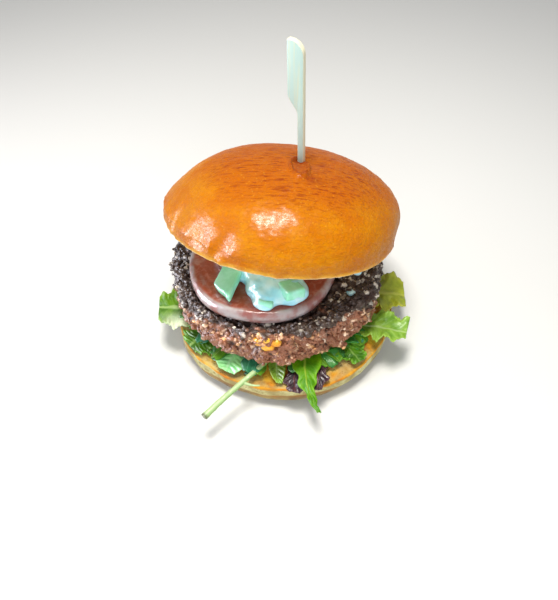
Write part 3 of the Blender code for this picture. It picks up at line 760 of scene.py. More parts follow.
@dataclass(frozen=True)
class TomatoFinish(Finish):
    """A wet slice: brick red flesh with faint fibres, lightened in places by a painted sheen, and a pinkish
    shiny skin at its edge, blotched with a pale that is partly real membrane and partly painted sheen.
    """

    flesh: Colour = (0.31, 0.046, 0.02)
    # The lighter flesh colour is partly real fibres and partly a painted milky sheen.
    light: Colour = (0.42, 0.13, 0.095)
    skin: Colour = (0.30, 0.105, 0.09)
    # The pale greyish pink is partly real membrane and threads, and partly a painted sheen.
    pale: Colour = (0.42, 0.36, 0.36)
    pocket: Colour = (0.25, 0.06, 0.015)

    def make(self) -> Material:
        """Build the material. It reads the painted numbers skin, wall and pocket.

        Returns:
            The material.
        """
        made, sheet, shader = self.start()
        where = sheet.objects()
        fibres = sheet.noise(where, 260.0, 5, 1.2)
        # The fibres lighten the flesh, partly as a painted sheen.
        flesh = sheet.mix(sheet.span(fibres, 0.45, 0.7), self.flesh, self.light)
        flesh = sheet.mix(sheet.value("pocket"), flesh, self.pocket)
        threads = sheet.span(sheet.noise(where, 200.0, 5, 0.5), 0.48, 0.72)
        flesh = sheet.mix(sheet.maths("MULTIPLY", sheet.value("wall"), threads), flesh, self.pale)
        # The skin is blotched with pale, partly as a painted sheen.
        outer = sheet.mottle(where, 150.0, 4.0, self.skin, self.pale)
        colour = sheet.mix(sheet.value("skin"), flesh, outer)
        fine = sheet.noise(where, 700.0, 4)
        self.wire(sheet, shader, Base_Color=colour, Normal=sheet.bump(fine, 0.12 * MM, 0.6))
        return made


@dataclass(frozen=True)
class CreamFinish(Finish):
    """A smooth wet food of two close colours, such as sauce or cucumber flesh."""

    # The default colours belong to the sauce. It is white, tinted cyan as painted cool shade.
    first: Colour = (0.36, 0.82, 0.95)
    second: Colour = (0.60, 0.93, 1.0)
    scale: float = 160.0
    relief: float = 0.1

    def make(self) -> Material:
        """Build the material.

        Returns:
            The material.
        """
        made, sheet, shader = self.start()
        where = sheet.objects()
        blend = sheet.mottle(where, self.scale, 3.0, self.first, self.second)
        fine = sheet.noise(where, 900.0, 3)
        normal = sheet.bump(fine, self.relief * MM, 0.6)
        self.wire(sheet, shader, Base_Color=blend, Normal=normal)
        return made


@dataclass(frozen=True)
class WoodFinish(Finish):
    """Bare pale wood with fine grain along the pick. Its broad faces are tinted mint as painted cool light,
    and its narrow sides keep the wood's own cream.
    """

    # The broad faces' colour is the wood tinted mint, as painted cool light.
    light: Colour = (0.47, 0.66, 0.60)
    line: Colour = (0.66, 0.68, 0.44)
    cut: Colour = (0.82, 0.78, 0.56)

    def make(self) -> Material:
        """Build the material. It reads the painted number side.

        Returns:
            The material.
        """
        made, sheet, shader = self.start()
        lengthwise = sheet.objects(scale=(900, 900, 38))
        grain = sheet.noise(lengthwise, 1.0, 4, 0.4)
        pores = sheet.cells(sheet.objects(scale=(2200, 2200, 160)), 1.0)
        lines = sheet.span(grain, 0.5, 0.72)
        # The faces get the mint painted light, and the narrow sides get the wood's own cream.
        colour = sheet.mix(sheet.value("side"), self.light, self.cut)
        colour = sheet.mix(sheet.share(lines, 0.6), colour, self.line)
        colour = sheet.mix(sheet.share(sheet.span(pores, 0.2, 0.05), 0.3), colour, self.line)
        self.wire(sheet, shader, Base_Color=colour, Normal=sheet.bump(grain, 0.12 * MM, 0.5))
        return made


@dataclass(frozen=True)
class StalkFinish(Finish):
    """A pale green stalk with a finely uneven skin, brownish spots and a dark cut end."""

    green: Colour = (0.24, 0.44, 0.11)
    pale: Colour = (0.46, 0.62, 0.30)
    spot: Colour = (0.30, 0.20, 0.08)
    cut: Colour = (0.05, 0.035, 0.02)

    def make(self) -> Material:
        """Build the material. It reads the painted numbers lit and tip.

        Returns:
            The material.
        """
        made, sheet, shader = self.start()
        where = sheet.objects()
        colour = sheet.mix(sheet.value("lit"), self.green, self.pale)
        spots = sheet.span(sheet.noise(where, 420.0, 3), 0.66, 0.74)
        colour = sheet.mix(sheet.share(spots, 0.6), colour, self.spot)
        colour = sheet.mix(sheet.value("tip"), colour, self.cut)
        skin = sheet.noise(sheet.objects(scale=(900, 900, 900)), 1.0, 3)
        self.wire(sheet, shader, Base_Color=colour, Normal=sheet.bump(skin, 0.15 * MM, 0.5))
        return made


@dataclass(frozen=True)
class LeafFinish(Finish):
    """A salad leaf with a midrib and side veins."""

    blade: Colour = (0.085, 0.25, 0.004)
    deep: Colour = (0.028, 0.12, 0.004)
    vein: Colour = (0.28, 0.48, 0.10)
    edge: Colour = (0.15, 0.37, 0.02)
    blanched: Colour = (0.80, 0.88, 0.66)
    branches: float = 7.0
    drift: Point = (0.12, 0.12, 0.0)
    vein_share: float = 0.16

    def make(self) -> Material:
        """Build the material. It reads the UV map and the painted numbers edge and blanch.

        Returns:
            The material.
        """
        made, sheet, shader = self.start()
        where = sheet.objects()
        drift = sheet.add("ShaderNodeTexNoise", {"Vector": where, "Scale": 150.0}).outputs["Color"]
        inputs = {0: drift, 1: self.drift, 2: sheet.uv()}
        bent = sheet.add("ShaderNodeVectorMath", inputs, operation="MULTIPLY_ADD")
        veins = sheet.group(VEINS, UV=bent.outputs[0], Branches=self.branches, Slope=VEIN_SLOPE)
        blade = sheet.mottle(where, 170.0, 5.0, self.deep, self.blade)
        colour = sheet.mix(sheet.value("edge"), blade, self.edge)
        side_veins = sheet.share(veins.outputs["Vein"], self.vein_share)
        both = sheet.maths("MAXIMUM", sheet.share(veins.outputs["Midrib"], 0.7), side_veins)
        colour = sheet.mix(both, colour, self.vein)
        colour = sheet.mix(sheet.value("blanch"), colour, self.blanched)
        fine = sheet.noise(where, 900.0, 4)
        relief = sheet.maths("MULTIPLY_ADD", both, 0.5, fine)
        self.wire(sheet, shader, Base_Color=colour, Normal=sheet.bump(relief, 0.3 * MM, 0.6))
        return made


CRUST = CrustFinish(
    "glazed crust",
    roughness=0.45,
    coat=0.19,
    coat_roughness=0.23,
    coat_ior=2.4,
    specular=0.08,
    tint=(1.0, 0.42, 0.06),
)
HEEL = HeelFinish("toasted crumb", roughness=0.85, specular=0.2)
PATTY = PattyFinish("fried grains", roughness=0.55, coat=0.3, coat_roughness=0.2)
TOMATO = TomatoFinish("wet tomato", roughness=0.32, coat=0.6, coat_roughness=0.12, subsurface=0.1)
# The white sauce keeps the default cyan colours, a painted tint of cool shade.
SAUCE = CreamFinish("yoghurt sauce", roughness=0.3, coat=0.4, subsurface=0.2, scatter=(0.8, 1.0, 1.0))
CUCUMBER = CreamFinish(
    "cucumber flesh",
    roughness=0.3,
    coat=0.4,
    subsurface=0.2,
    scatter=(0.4, 1.0, 0.5),
    first=(0.29, 0.82, 0.54),
    second=(0.42, 0.95, 0.74),
)
CORN = CreamFinish(
    "sweetcorn",
    roughness=0.3,
    coat=0.4,
    subsurface=0.1,
    first=(0.80, 0.30, 0.015),
    second=(0.90, 0.50, 0.04),
    scale=320.0,
)
WOOD = WoodFinish("pale wood", roughness=0.55)
STALK = StalkFinish("rocket stalk", roughness=0.4, coat=0.2)


class LeafKind(Enum):
    """The kinds of salad leaf, each with its finish."""

    GREEN = LeafFinish("green leaf", roughness=0.42, coat=0.06, specular=0.3)
    # A green leaf made olive and duller, partly as painted shade with a warm brown tint.
    OLIVE = LeafFinish(
        "olive leaf",
        roughness=0.42,
        coat=0.08,
        blade=(0.38, 0.44, 0.025),
        deep=(0.26, 0.32, 0.015),
        vein=(0.50, 0.54, 0.08),
        edge=(0.42, 0.45, 0.03),
    )
    LIME = LeafFinish(
        "lime leaf",
        roughness=0.42,
        specular=0.2,
        blade=(0.13, 0.36, 0.002),
        deep=(0.06, 0.23, 0.002),
        vein=(0.36, 0.52, 0.05),
        edge=(0.15, 0.38, 0.004),
    )
    PALE = LeafFinish(
        "pale leaf",
        roughness=0.42,
        coat=0.15,
        blade=(0.25, 0.45, 0.04),
        deep=(0.13, 0.30, 0.018),
        vein=(0.52, 0.70, 0.28),
        edge=(0.31, 0.52, 0.06),
    )
    LETTUCE = LeafFinish(
        "lettuce",
        roughness=0.42,
        specular=0.3,
        blade=(0.12, 0.28, 0.004),
        deep=(0.055, 0.17, 0.004),
        vein=(0.38, 0.55, 0.18),
        edge=(0.19, 0.36, 0.02),
    )
    MINT = LeafFinish(
        "mint leaf",
        roughness=0.4,
        coat=0.2,
        blade=(0.33, 0.80, 0.28),
        deep=(0.20, 0.62, 0.21),
        vein=(0.40, 0.76, 0.38),
        edge=(0.32, 0.74, 0.30),
    )
    TEAL = LeafFinish(
        "teal leaf",
        roughness=0.4,
        coat=0.2,
        blade=(0.018, 0.25, 0.10),
        deep=(0.006, 0.13, 0.06),
        vein=(0.10, 0.40, 0.22),
        edge=(0.03, 0.22, 0.10),
    )
    RED = LeafFinish(
        "red leaf",
        roughness=0.4,
        coat=0.2,
        blade=(0.05, 0.012, 0.022),
        deep=(0.018, 0.008, 0.016),
        vein=(0.16, 0.05, 0.05),
        edge=(0.07, 0.02, 0.03),
        vein_share=0.3,
    )
    BED = LeafFinish(
        "pressed leaves",
        roughness=0.45,
        coat=0.15,
        blade=(0.05, 0.28, 0.03),
        deep=(0.012, 0.10, 0.03),
        vein=(0.10, 0.35, 0.06),
        edge=(0.05, 0.28, 0.03),
        vein_share=0.0,
    )


@dataclass
class SubAssembly:
    """What every sub-assembly shares: its pieces, and the way they join the frame."""

    pieces: list[Object] = field(default_factory=list, init=False)

    def keep(self, piece: Object, slot: Slot, *nodes: str) -> Object:
        """Hand a finished piece over to the frame.

        Args:
            piece: The piece.
            slot: The material slot of the record that the piece belongs to. It is not used.
            *nodes: The CAD nodes that it stands for.

        Returns:
            The same piece.
        """
        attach(piece, BODY)
        if nodes:
            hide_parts(*nodes)
        self.pieces.append(piece)
        return piece

    def wear(self, material: Material, *pieces: Object) -> None:
        """Dress pieces in one material.

        Args:
            material: The material.
            *pieces: The pieces that wear it.
        """
        for piece in pieces:
            piece.data.materials.clear()
            piece.data.materials.append(material)


@dataclass
class Heel(SubAssembly):
    """The lower half of the bun: a flat foot, a soft crumb side and a toasted cut face."""

    radius: float = 53 * MM
    foot_radius: float = 44 * MM
    cut_radius: float = 41 * MM
    belly_height: float = 7 * MM
    rim_height: float = 12.6 * MM
    rim_round: float = 1.2 * MM
    height: float = 14 * MM
    rim_sag: float = 0.5 * MM
    flat: float = 0.3 * MM
    fold_depth: float = 0.7 * MM
    hole_size: float = 3.2 * MM
    hole_depth: float = 0.5 * MM
    pale_share: float = 0.55
    uneven: float = 0.01
    segments: int = 288

    def build(self) -> None:
        """Turn the heel, sag its rim and roughen its crumb."""
        belly_centre = (self.foot_radius, self.belly_height)
        belly = arc(belly_centre, (self.radius - self.foot_radius, self.belly_height), -90, 0, 18)
        lip_centre = (self.radius - self.rim_round, self.rim_height - self.rim_round)
        lip = arc(lip_centre, (self.rim_round, self.rim_round), 0, 90, 6)
        side = along(belly[-1], lip[0], 10)
        cut_edge = (self.cut_radius, self.height)
        middle = (self.cut_radius * 0.6, self.height)
        profile = [(0, 0)] + along((0, 0), belly[0], 8) + belly + side + lip
        profile += along(lip[-1], cut_edge, 16) + [cut_edge] + along(cut_edge, middle, 18) + [middle]
        profile += along(middle, (0, self.height), 5) + [(0, self.height)]
        heel = lathe("brioche_heel", profile, self.segments)
        paint(heel, "cut", self.is_cut)
        paint(heel, "crust", self.is_crust)
        paint(heel, "fold", self.is_fold)
        paint(heel, "pale", self.is_pale)
        sculpt(heel, self.form)
        sculpt(heel, self.roughen)
        self.keep(settle(heel), Slot.CRUMB, "bun_heel")

    def is_cut(self, place: Vector, normal: Vector) -> float:
        """1 on the cut face, 0 on the side."""
        wavy = ripple(place, 1.6 * MM, 7 * MM)
        return smoothstep(self.rim_height - 1.6 * MM, self.rim_height - 0.8 * MM, place.z + wavy)

    def crust_line(self, place: Vector) -> float:
        """The height of the wavy line where the foot's crust ends."""
        angle = angle_of(place)
        return self.belly_height * (0.85 + 0.2 * math.sin(3 * angle + 0.4) + 0.12 * math.sin(8 * angle))

    def is_crust(self, place: Vector, normal: Vector) -> float:
        """1 on the foot's crust, 0 above it."""
        line = self.crust_line(place)
        return 1 - smoothstep(line - 0.5 * MM, line + 0.5 * MM, place.z)

    def is_fold(self, place: Vector, normal: Vector) -> float:
        """1 on the browned fold between crust and crumb, 0 away from it."""
        torn = 0.8 + ripple(place, 0.6, 3 * MM)
        return min(torn * bell((place.z - self.crust_line(place)) / (0.9 * MM)), 1.0)

    def is_pale(self, place: Vector, normal: Vector) -> float:
        """How pale the cut face stayed, in a torn ring just inside its edge, 0 elsewhere.

        Args:
            place: A point of the piece.
            normal: Its normal.

        Returns:
            The strength of the pale crumb there.
        """
        torn = ripple(place, 0.1, 8 * MM) + ripple(place, 0.06, 2.5 * MM)
        reach = place.xy.length / self.radius
        return self.pale_share * smoothstep(0.86, 0.95, reach + torn) * (1 - smoothstep(0.97, 0.99, reach))

    def form(self, place: Vector, normal: Vector) -> Vector:
        """The uneven outline and the sagging rim of the solid.

        Args:
            place: A point of the piece.
            normal: Its normal.

        Returns:
            The point's new place.
        """
        angle, reach = angle_of(place), place.xy.length / self.radius
        uneven = 1 + self.uneven * (math.sin(2 * angle + 0.6) + 0.8 * math.sin(5 * angle + 2))
        is_rim = smoothstep(self.belly_height, self.rim_height, place.z) * smoothstep(0.85, 1.0, reach)
        sag = self.rim_sag * is_rim * (math.sin(3 * angle + 1) + 0.7 * math.sin(7 * angle))
        return Vector((place.x * uneven, place.y * uneven, place.z + sag))

    def roughen(self, place: Vector, normal: Vector) -> Vector:
        """Crumb holes, a torn lip and the fold where crumb meets crust.

        Args:
            place: A point of the piece.
            normal: Its normal.

        Returns:
            The point's new place.
        """
        if place.z < self.flat:
            return place
        line = self.crust_line(place)
        fold = self.fold_depth * bell((place.z - line) / (0.8 * MM))
        hollow = self.hole_depth * (1 - granule(place, self.hole_size)[0])
        holes = hollow * smoothstep(line, line + 1.5 * MM, place.z)
        soft = ripple(place, 0.5 * MM, 9 * MM) - 0.25 * MM
        return place - normal * (fold + 0.6 * holes - soft)

    def dress(self) -> None:
        """Toast the cut face and brown the foot."""
        self.wear(HEEL.make(), *self.pieces)


@dataclass
class Pick(SubAssembly):
    """The flat wooden paddle pick."""

    length: float = 114.5 * MM
    tip: Vector = field(default_factory=lambda: Vector((8.3, 18.8, 23)) * MM)
    lean: float = math.radians(-1.5)
    turn: float = math.radians(-24)
    stem_width: float = 2.7 * MM
    thickness: float = 2.6 * MM
    blade_width: float = 7 * MM
    blade_length: float = 22 * MM
    neck: float = 8.7 * MM
    corner: float = 5.8 * MM
    edge: float = 0.6 * MM
    point: float = 9 * MM
    bevel: float = 0.3 * MM

    def matrix(self) -> Matrix:
        """The place of the pick's tip, its lean and the way its blade faces."""
        turned = Euler((0, self.lean, 0)).to_matrix().to_4x4() @ Matrix.Rotation(self.turn, 4, "Z")
        return Matrix.Translation(self.tip) @ turned

    def at_height(self, height: float) -> Vector:
        """Where the pick's middle line crosses a height."""
        axis = Euler((0, self.lean, 0)).to_matrix() @ Vector((0, 0, 1))
        return self.tip + axis * ((height - self.tip.z) / axis.z)

    def outline(self) -> list[tuple[float, float]]:
        """The flat outline, clockwise from the point.

        Returns:
            The (x, z) points, with the tip at the origin.
        """
        back, front = self.stem_width / 2, -self.stem_width / 2
        blade = back - self.blade_width
        neck_top = self.length - self.blade_length
        start = [(0, 0), (0.8 * front, 0.7 * self.point), (front, self.point)]
        stem = along((front, self.point), (front, neck_top - self.neck), 16)
        slope = []
        for i in range(13):
            share = i / 12
            across = front + (blade - front) * smoothstep(0, 1, share)
            slope.append((across, neck_top - self.neck * (1 - share)))
        edge = (self.edge, self.edge)
        sharp = arc((blade + self.edge, self.length - self.edge), edge, 180, 90, 4)
        corner = (self.corner, self.corner)
        rounded = arc((back - self.corner, self.length - self.corner), corner, 90, 0, 10)
        return start + stem + slope + sharp + rounded + [(back, self.point), (0.8 * back, 0.7 * self.point)]

    def build(self) -> None:
        """Cut the outline from a board, ease its edges and thin it towards the point."""
        outline = self.outline()
        pick = primitive(
            "wooden_pick",
            bpy.ops.mesh.primitive_circle_add,
            vertices=len(outline),
            radius=self.length,
            fill_type="NGON",
        )
        for vert, (x, z) in zip(pick.data.vertices, outline):
            vert.co = (x, -self.thickness / 2, z)
        edit(pick, "FACE")
        bpy.ops.mesh.extrude_region_move(TRANSFORM_OT_translate={"value": (0, self.thickness, 0)})
        bpy.ops.mesh.select_all(action="SELECT")
        bpy.ops.mesh.normals_make_consistent(inside=False)
        leave_edit()
        bends = math.radians(50)
        modify(pick, "BEVEL", width=self.bevel, segments=3, limit_method="ANGLE", angle_limit=bends)
        paint(pick, "side", lambda spot, normal: smoothstep(0.4, 0.8, abs(normal.x) + abs(normal.z)))
        sculpt(pick, self.thin)
        place(pick, self.matrix())
        self.keep(settle(pick, 35), Slot.WOOD, "paddle_pick")

    def thin(self, place: Vector, normal: Vector) -> Vector:
        """Bring the two faces together towards the point."""
        return Vector((place.x, place.y * smoothstep(-self.point / 2, self.point, place.z), place.z))

    def dress(self) -> None:
        """Give the pick its grain."""
        self.wear(WOOD.make(), *self.pieces)


@dataclass
class Crown(SubAssembly):
    """The upper half of the bun, tipped back and to the right, and skewed as it was baked."""

    centre: Vector = field(default_factory=lambda: Vector((-2.5, 12.5, 55)) * MM)
    tip_back: float = math.radians(-15)
    tip_right: float = math.radians(7)
    radius: float = 53.8 * MM
    cut_radius: float = 52.6 * MM
    shoulder: float = 6 * MM
    height: float = 31.6 * MM
    skew: float = 0.16
    slim: float = 0.07
    swell: float = 0.5 * MM
    swell_size: float = 24 * MM
    dimple_radius: float = 6 * MM
    dimple_depth: float = 1.3 * MM
    dent_half_height: float = 7 * MM
    dents: tuple = (
        (-152, 7, 6, 1.6),
        (-133, 5, 5, 1.5),
        (-119, 6, 4.5, 1.8),
        (-106, 4, 5, 1.2),
        (-20, 8, 7, 1.2),
        (70, 6, 8, 1.4),
        (150, 7, 7, 1.2),
    )
    fold_centre: tuple = (-1.2 * MM, -8.0 * MM)
    fold_radii: tuple = (4.0 * MM, 9.5 * MM)
    fold_height: float = 1.4 * MM
    hole_radius: float = 2.3 * MM
    hole_depth: float = 1.1 * MM
    pleat_depth: float = 0.75 * MM
    dome_steps: int = 96
    segments: int = 300
    pick: Pick = field(default_factory=Pick)

    def matrix(self) -> Matrix:
        """The crown's place, tipped back and to the right."""
        turned = Euler((self.tip_back, self.tip_right, 0)).to_matrix().to_4x4()
        return Matrix.Translation(self.centre) @ turned

    def profile(self) -> list[tuple[float, float]]:
        """From the middle of the cut face, round the shoulder and over the dome.

        Returns:
            The (radius, height) points.
        """
        lip_centre = (self.cut_radius, self.shoulder)
        lip = arc(lip_centre, (self.radius - self.cut_radius, self.shoulder), -90, 0, 20)
        dome = []
        for i in range(1, self.dome_steps):
            a = math.pi / 2 * i / self.dome_steps
            radius = self.radius * math.cos(a) ** 0.86
            dome.append((radius, self.shoulder + (self.height - self.shoulder) * math.sin(a) ** 0.92))
        return [(0, 0)] + along((0, 0), lip[0], 24) + lip + dome + [(0, self.height)]

    def build(self) -> None:
        """Turn the dome, dent it, pucker it round the pick and tip it."""
        crown = lathe("brioche_crown", self.profile(), self.segments)
        self.entry = self.matrix().inverted() @ self.pick.at_height(self.centre.z + self.height)
        dome = self.height - self.shoulder
        paint(crown, "rise", lambda spot, normal: max(spot.z - self.shoulder, 0) / dome)
        paint(crown, "crust", lambda spot, normal: smoothstep(0.1 * MM, 0.8 * MM, spot.z))
        paint(crown, "rim", lambda spot, normal: 1 - smoothstep(0.5 * MM, 3 * MM, spot.z))
        sculpt(crown, self.form)
        paint(crown, "pucker", self.is_pucker)
        sculpt(crown, self.crease)
        place(crown, self.matrix())
        self.keep(settle(crown), Slot.CRUST, "bun_crown")

    def from_fold(self, place: Vector) -> float:
        """How far a point of the dome is from the fold that the pick pressed, where 1 is on its ring.

        Args:
            place: A point of the dome.

        Returns:
            The distance in half axes of the ring.
        """
        across = (place.x - self.entry.x - self.fold_centre[0]) / self.fold_radii[0]
        ahead = (place.y - self.entry.y - self.fold_centre[1]) / self.fold_radii[1]
        return math.hypot(across, ahead)

    def is_pucker(self, place: Vector, normal: Vector) -> float:
        """1 on the browned fold in front of the pick, 0 away from it.

        Args:
            place: A point of the piece.
            normal: Its normal.

        Returns:
            The strength of the brown there.
        """
        if place.z < self.shoulder:
            return 0.0
        fold = self.from_fold(place)
        torn = 0.75 + ripple(place, 0.7, 1.6 * MM)
        inside = 0.55 * (1 - smoothstep(0.7, 1.1, fold))
        beside = Vector((place.x - self.entry.x - 4.5 * MM, (place.y - self.entry.y + 19 * MM) * 1.6))
        ring = 0.5 * bell((fold - 1) / 0.22)
        blotch = 0.9 * bell(beside.length / (4.5 * MM))
        hole = 0.6 * bell((place.xy - self.entry.xy).length / (2.6 * MM))
        return min(torn * (ring + inside + blotch) + hole, 1.0)

    def form(self, place: Vector, normal: Vector) -> Vector:
        """The dents, the dimple, the slim left flank and the skew of the solid.

        Args:
            place: A point of the piece.
            normal: Its normal.

        Returns:
            The point's new place.
        """
        above = smoothstep(0, self.shoulder, place.z)
        deep = 0.0
        for angle, height, half_width, depth in self.dents:
            across = angle_between(angle_of(place), math.radians(angle)) * self.radius / (half_width * MM)
            up = (place.z - height * MM) / self.dent_half_height
            deep += depth * MM * math.exp(-across * across - up * up)
        shift = above * (ripple(place, self.swell, self.swell_size) - deep)
        rise = max(place.z - self.shoulder, 0)
        if rise > 0:
            shift -= self.dimple_depth * bell((place.xy - self.entry.xy).length / self.dimple_radius)
        moved = place + normal * shift
        is_left = (1 - math.cos(angle_of(place))) / 2
        slim = 1 - self.slim * is_left * math.sin(math.pi * rise / (self.height - self.shoulder))
        return Vector((moved.x * slim + self.skew * rise, moved.y * slim, moved.z))

    def crease(self, place: Vector, normal: Vector) -> Vector:
        """Fine creases at the rim, soft swellings of the skin and the fold round the pick.

        Args:
            place: A point of the piece.
            normal: Its normal.

        Returns:
            The point's new place.
        """
        if normal.z < -0.9:
            return place - normal * 0.25 * MM * (1 - granule(place, 3 * MM)[0])
        soft = ripple(place, 0.22 * MM, 7 * MM) + ripple(place, 0.1 * MM, 2 * MM)
        around = Vector((place.x, place.y, place.z * 0.18))
        low = 1 - smoothstep(4 * MM, 13 * MM, place.z)
        left = smoothstep(-0.2, 0.7, -math.cos(angle_of(place)) - 0.4 * math.sin(angle_of(place)))
        pleat = ripple(around, self.pleat_depth, 3.4 * MM) * low * (0.3 + 0.7 * left)
        fold = 0.0
        if place.z > self.shoulder:
            uneven = 1 + ripple(place, 0.6, 1.8 * MM)
            fold = self.fold_height * uneven * bell((self.from_fold(place) - 1) / 0.2)
            fold -= self.hole_depth * bell((place.xy - self.entry.xy).length / self.hole_radius)
        return place + normal * (soft + pleat + fold - 0.15 * MM)

    def dress(self) -> None:
        """Glaze the crust."""
        self.wear(CRUST.make(), *self.pieces)


@dataclass
class Tomato(SubAssembly):
    """The thick tomato slice."""

    centre: Vector = field(default_factory=lambda: Vector((-10.5, -6.5, 0)) * MM)
    radius: float = 34 * MM
    base: float = 42.35 * MM
    thickness: float = 6.5 * MM
    bulge: float = 2.6 * MM
    lobes: int = 5
    uneven: float = 0.014
    pocket_depth: float = 0.5 * MM
    segments: int = 240

    @property
    def top(self) -> float:
        """The height of the upper face."""
        return self.base + self.thickness

    @property
    def flesh_radius(self) -> float:
        """How far the flat faces reach."""
        return self.radius - self.bulge

    def build(self) -> None:
        """Turn the slice, press its seed pockets and shape its skin."""
        half = self.thickness / 2
        skin = arc((self.flesh_radius, self.base + half), (self.bulge, half), -90, 90, 26)
        profile = [(0, self.base)] + along((0, self.base), skin[0], 6) + skin
        profile += along(skin[-1], (0, self.top), 44) + [(0, self.top)]
        tomato = lathe("tomato_round", profile, self.segments)
        paint(tomato, "skin", self.is_skin)
        paint(tomato, "wall", self.is_wall)
        paint(tomato, "pocket", self.is_pocket)
        sculpt(tomato, self.form)
        self.keep(settle(tomato), Slot.TOMATO, "tomato_slice")

    def is_skin(self, place: Vector, normal: Vector) -> float:
        """1 on the skin, 0 on the flesh."""
        return smoothstep(self.flesh_radius - 0.4 * MM, self.flesh_radius + 0.5 * MM, place.xy.length)

    def is_wall(self, place: Vector, normal: Vector) -> float:
        """How clearly pale threads show in the flesh: not in the middle, and up to 0.4 at its wall."""
        return 0.4 * smoothstep(0.66, 0.9, place.xy.length / self.radius)

    def is_pocket(self, place: Vector, normal: Vector) -> float:
        """1 in the seed pockets of the upper face, 0 elsewhere.

        Args:
            place: A point of the piece.
            normal: Its normal.

        Returns:
            How deep in a pocket the point is.
        """
        reach = place.xy.length / self.radius
        ring = smoothstep(0.2, 0.45, reach) * (1 - smoothstep(0.62, 0.85, reach))
        return ring * max(math.sin(self.lobes * angle_of(place)), 0) if place.z > self.top - 0.1 * MM else 0.0

    def form(self, place: Vector, normal: Vector) -> Vector:
        """The lobed outline, the pockets and a fine unevenness of the flesh.

        Args:
            place: A point of the piece.
            normal: Its normal.

        Returns:
            The point's new place.
        """
        angle, reach = angle_of(place), place.xy.length / self.radius
        lobed = 1 + self.uneven * math.sin(self.lobes * angle + 0.8) * reach
        low = self.pocket_depth * self.is_pocket(place, normal)
        fibres = 0.0
        if place.z > self.base + MM:
            fibres = ripple(place, 0.16 * MM, 2.4 * MM) + ripple(place, 0.3 * MM, 9 * MM) - 0.2 * MM
        moved = place + normal * fibres
        return Vector((moved.x * lobed, moved.y * lobed, moved.z - low)) + self.centre

    def dress(self) -> None:
        """Wet the flesh and the skin."""
        self.wear(TOMATO.make(), *self.pieces)


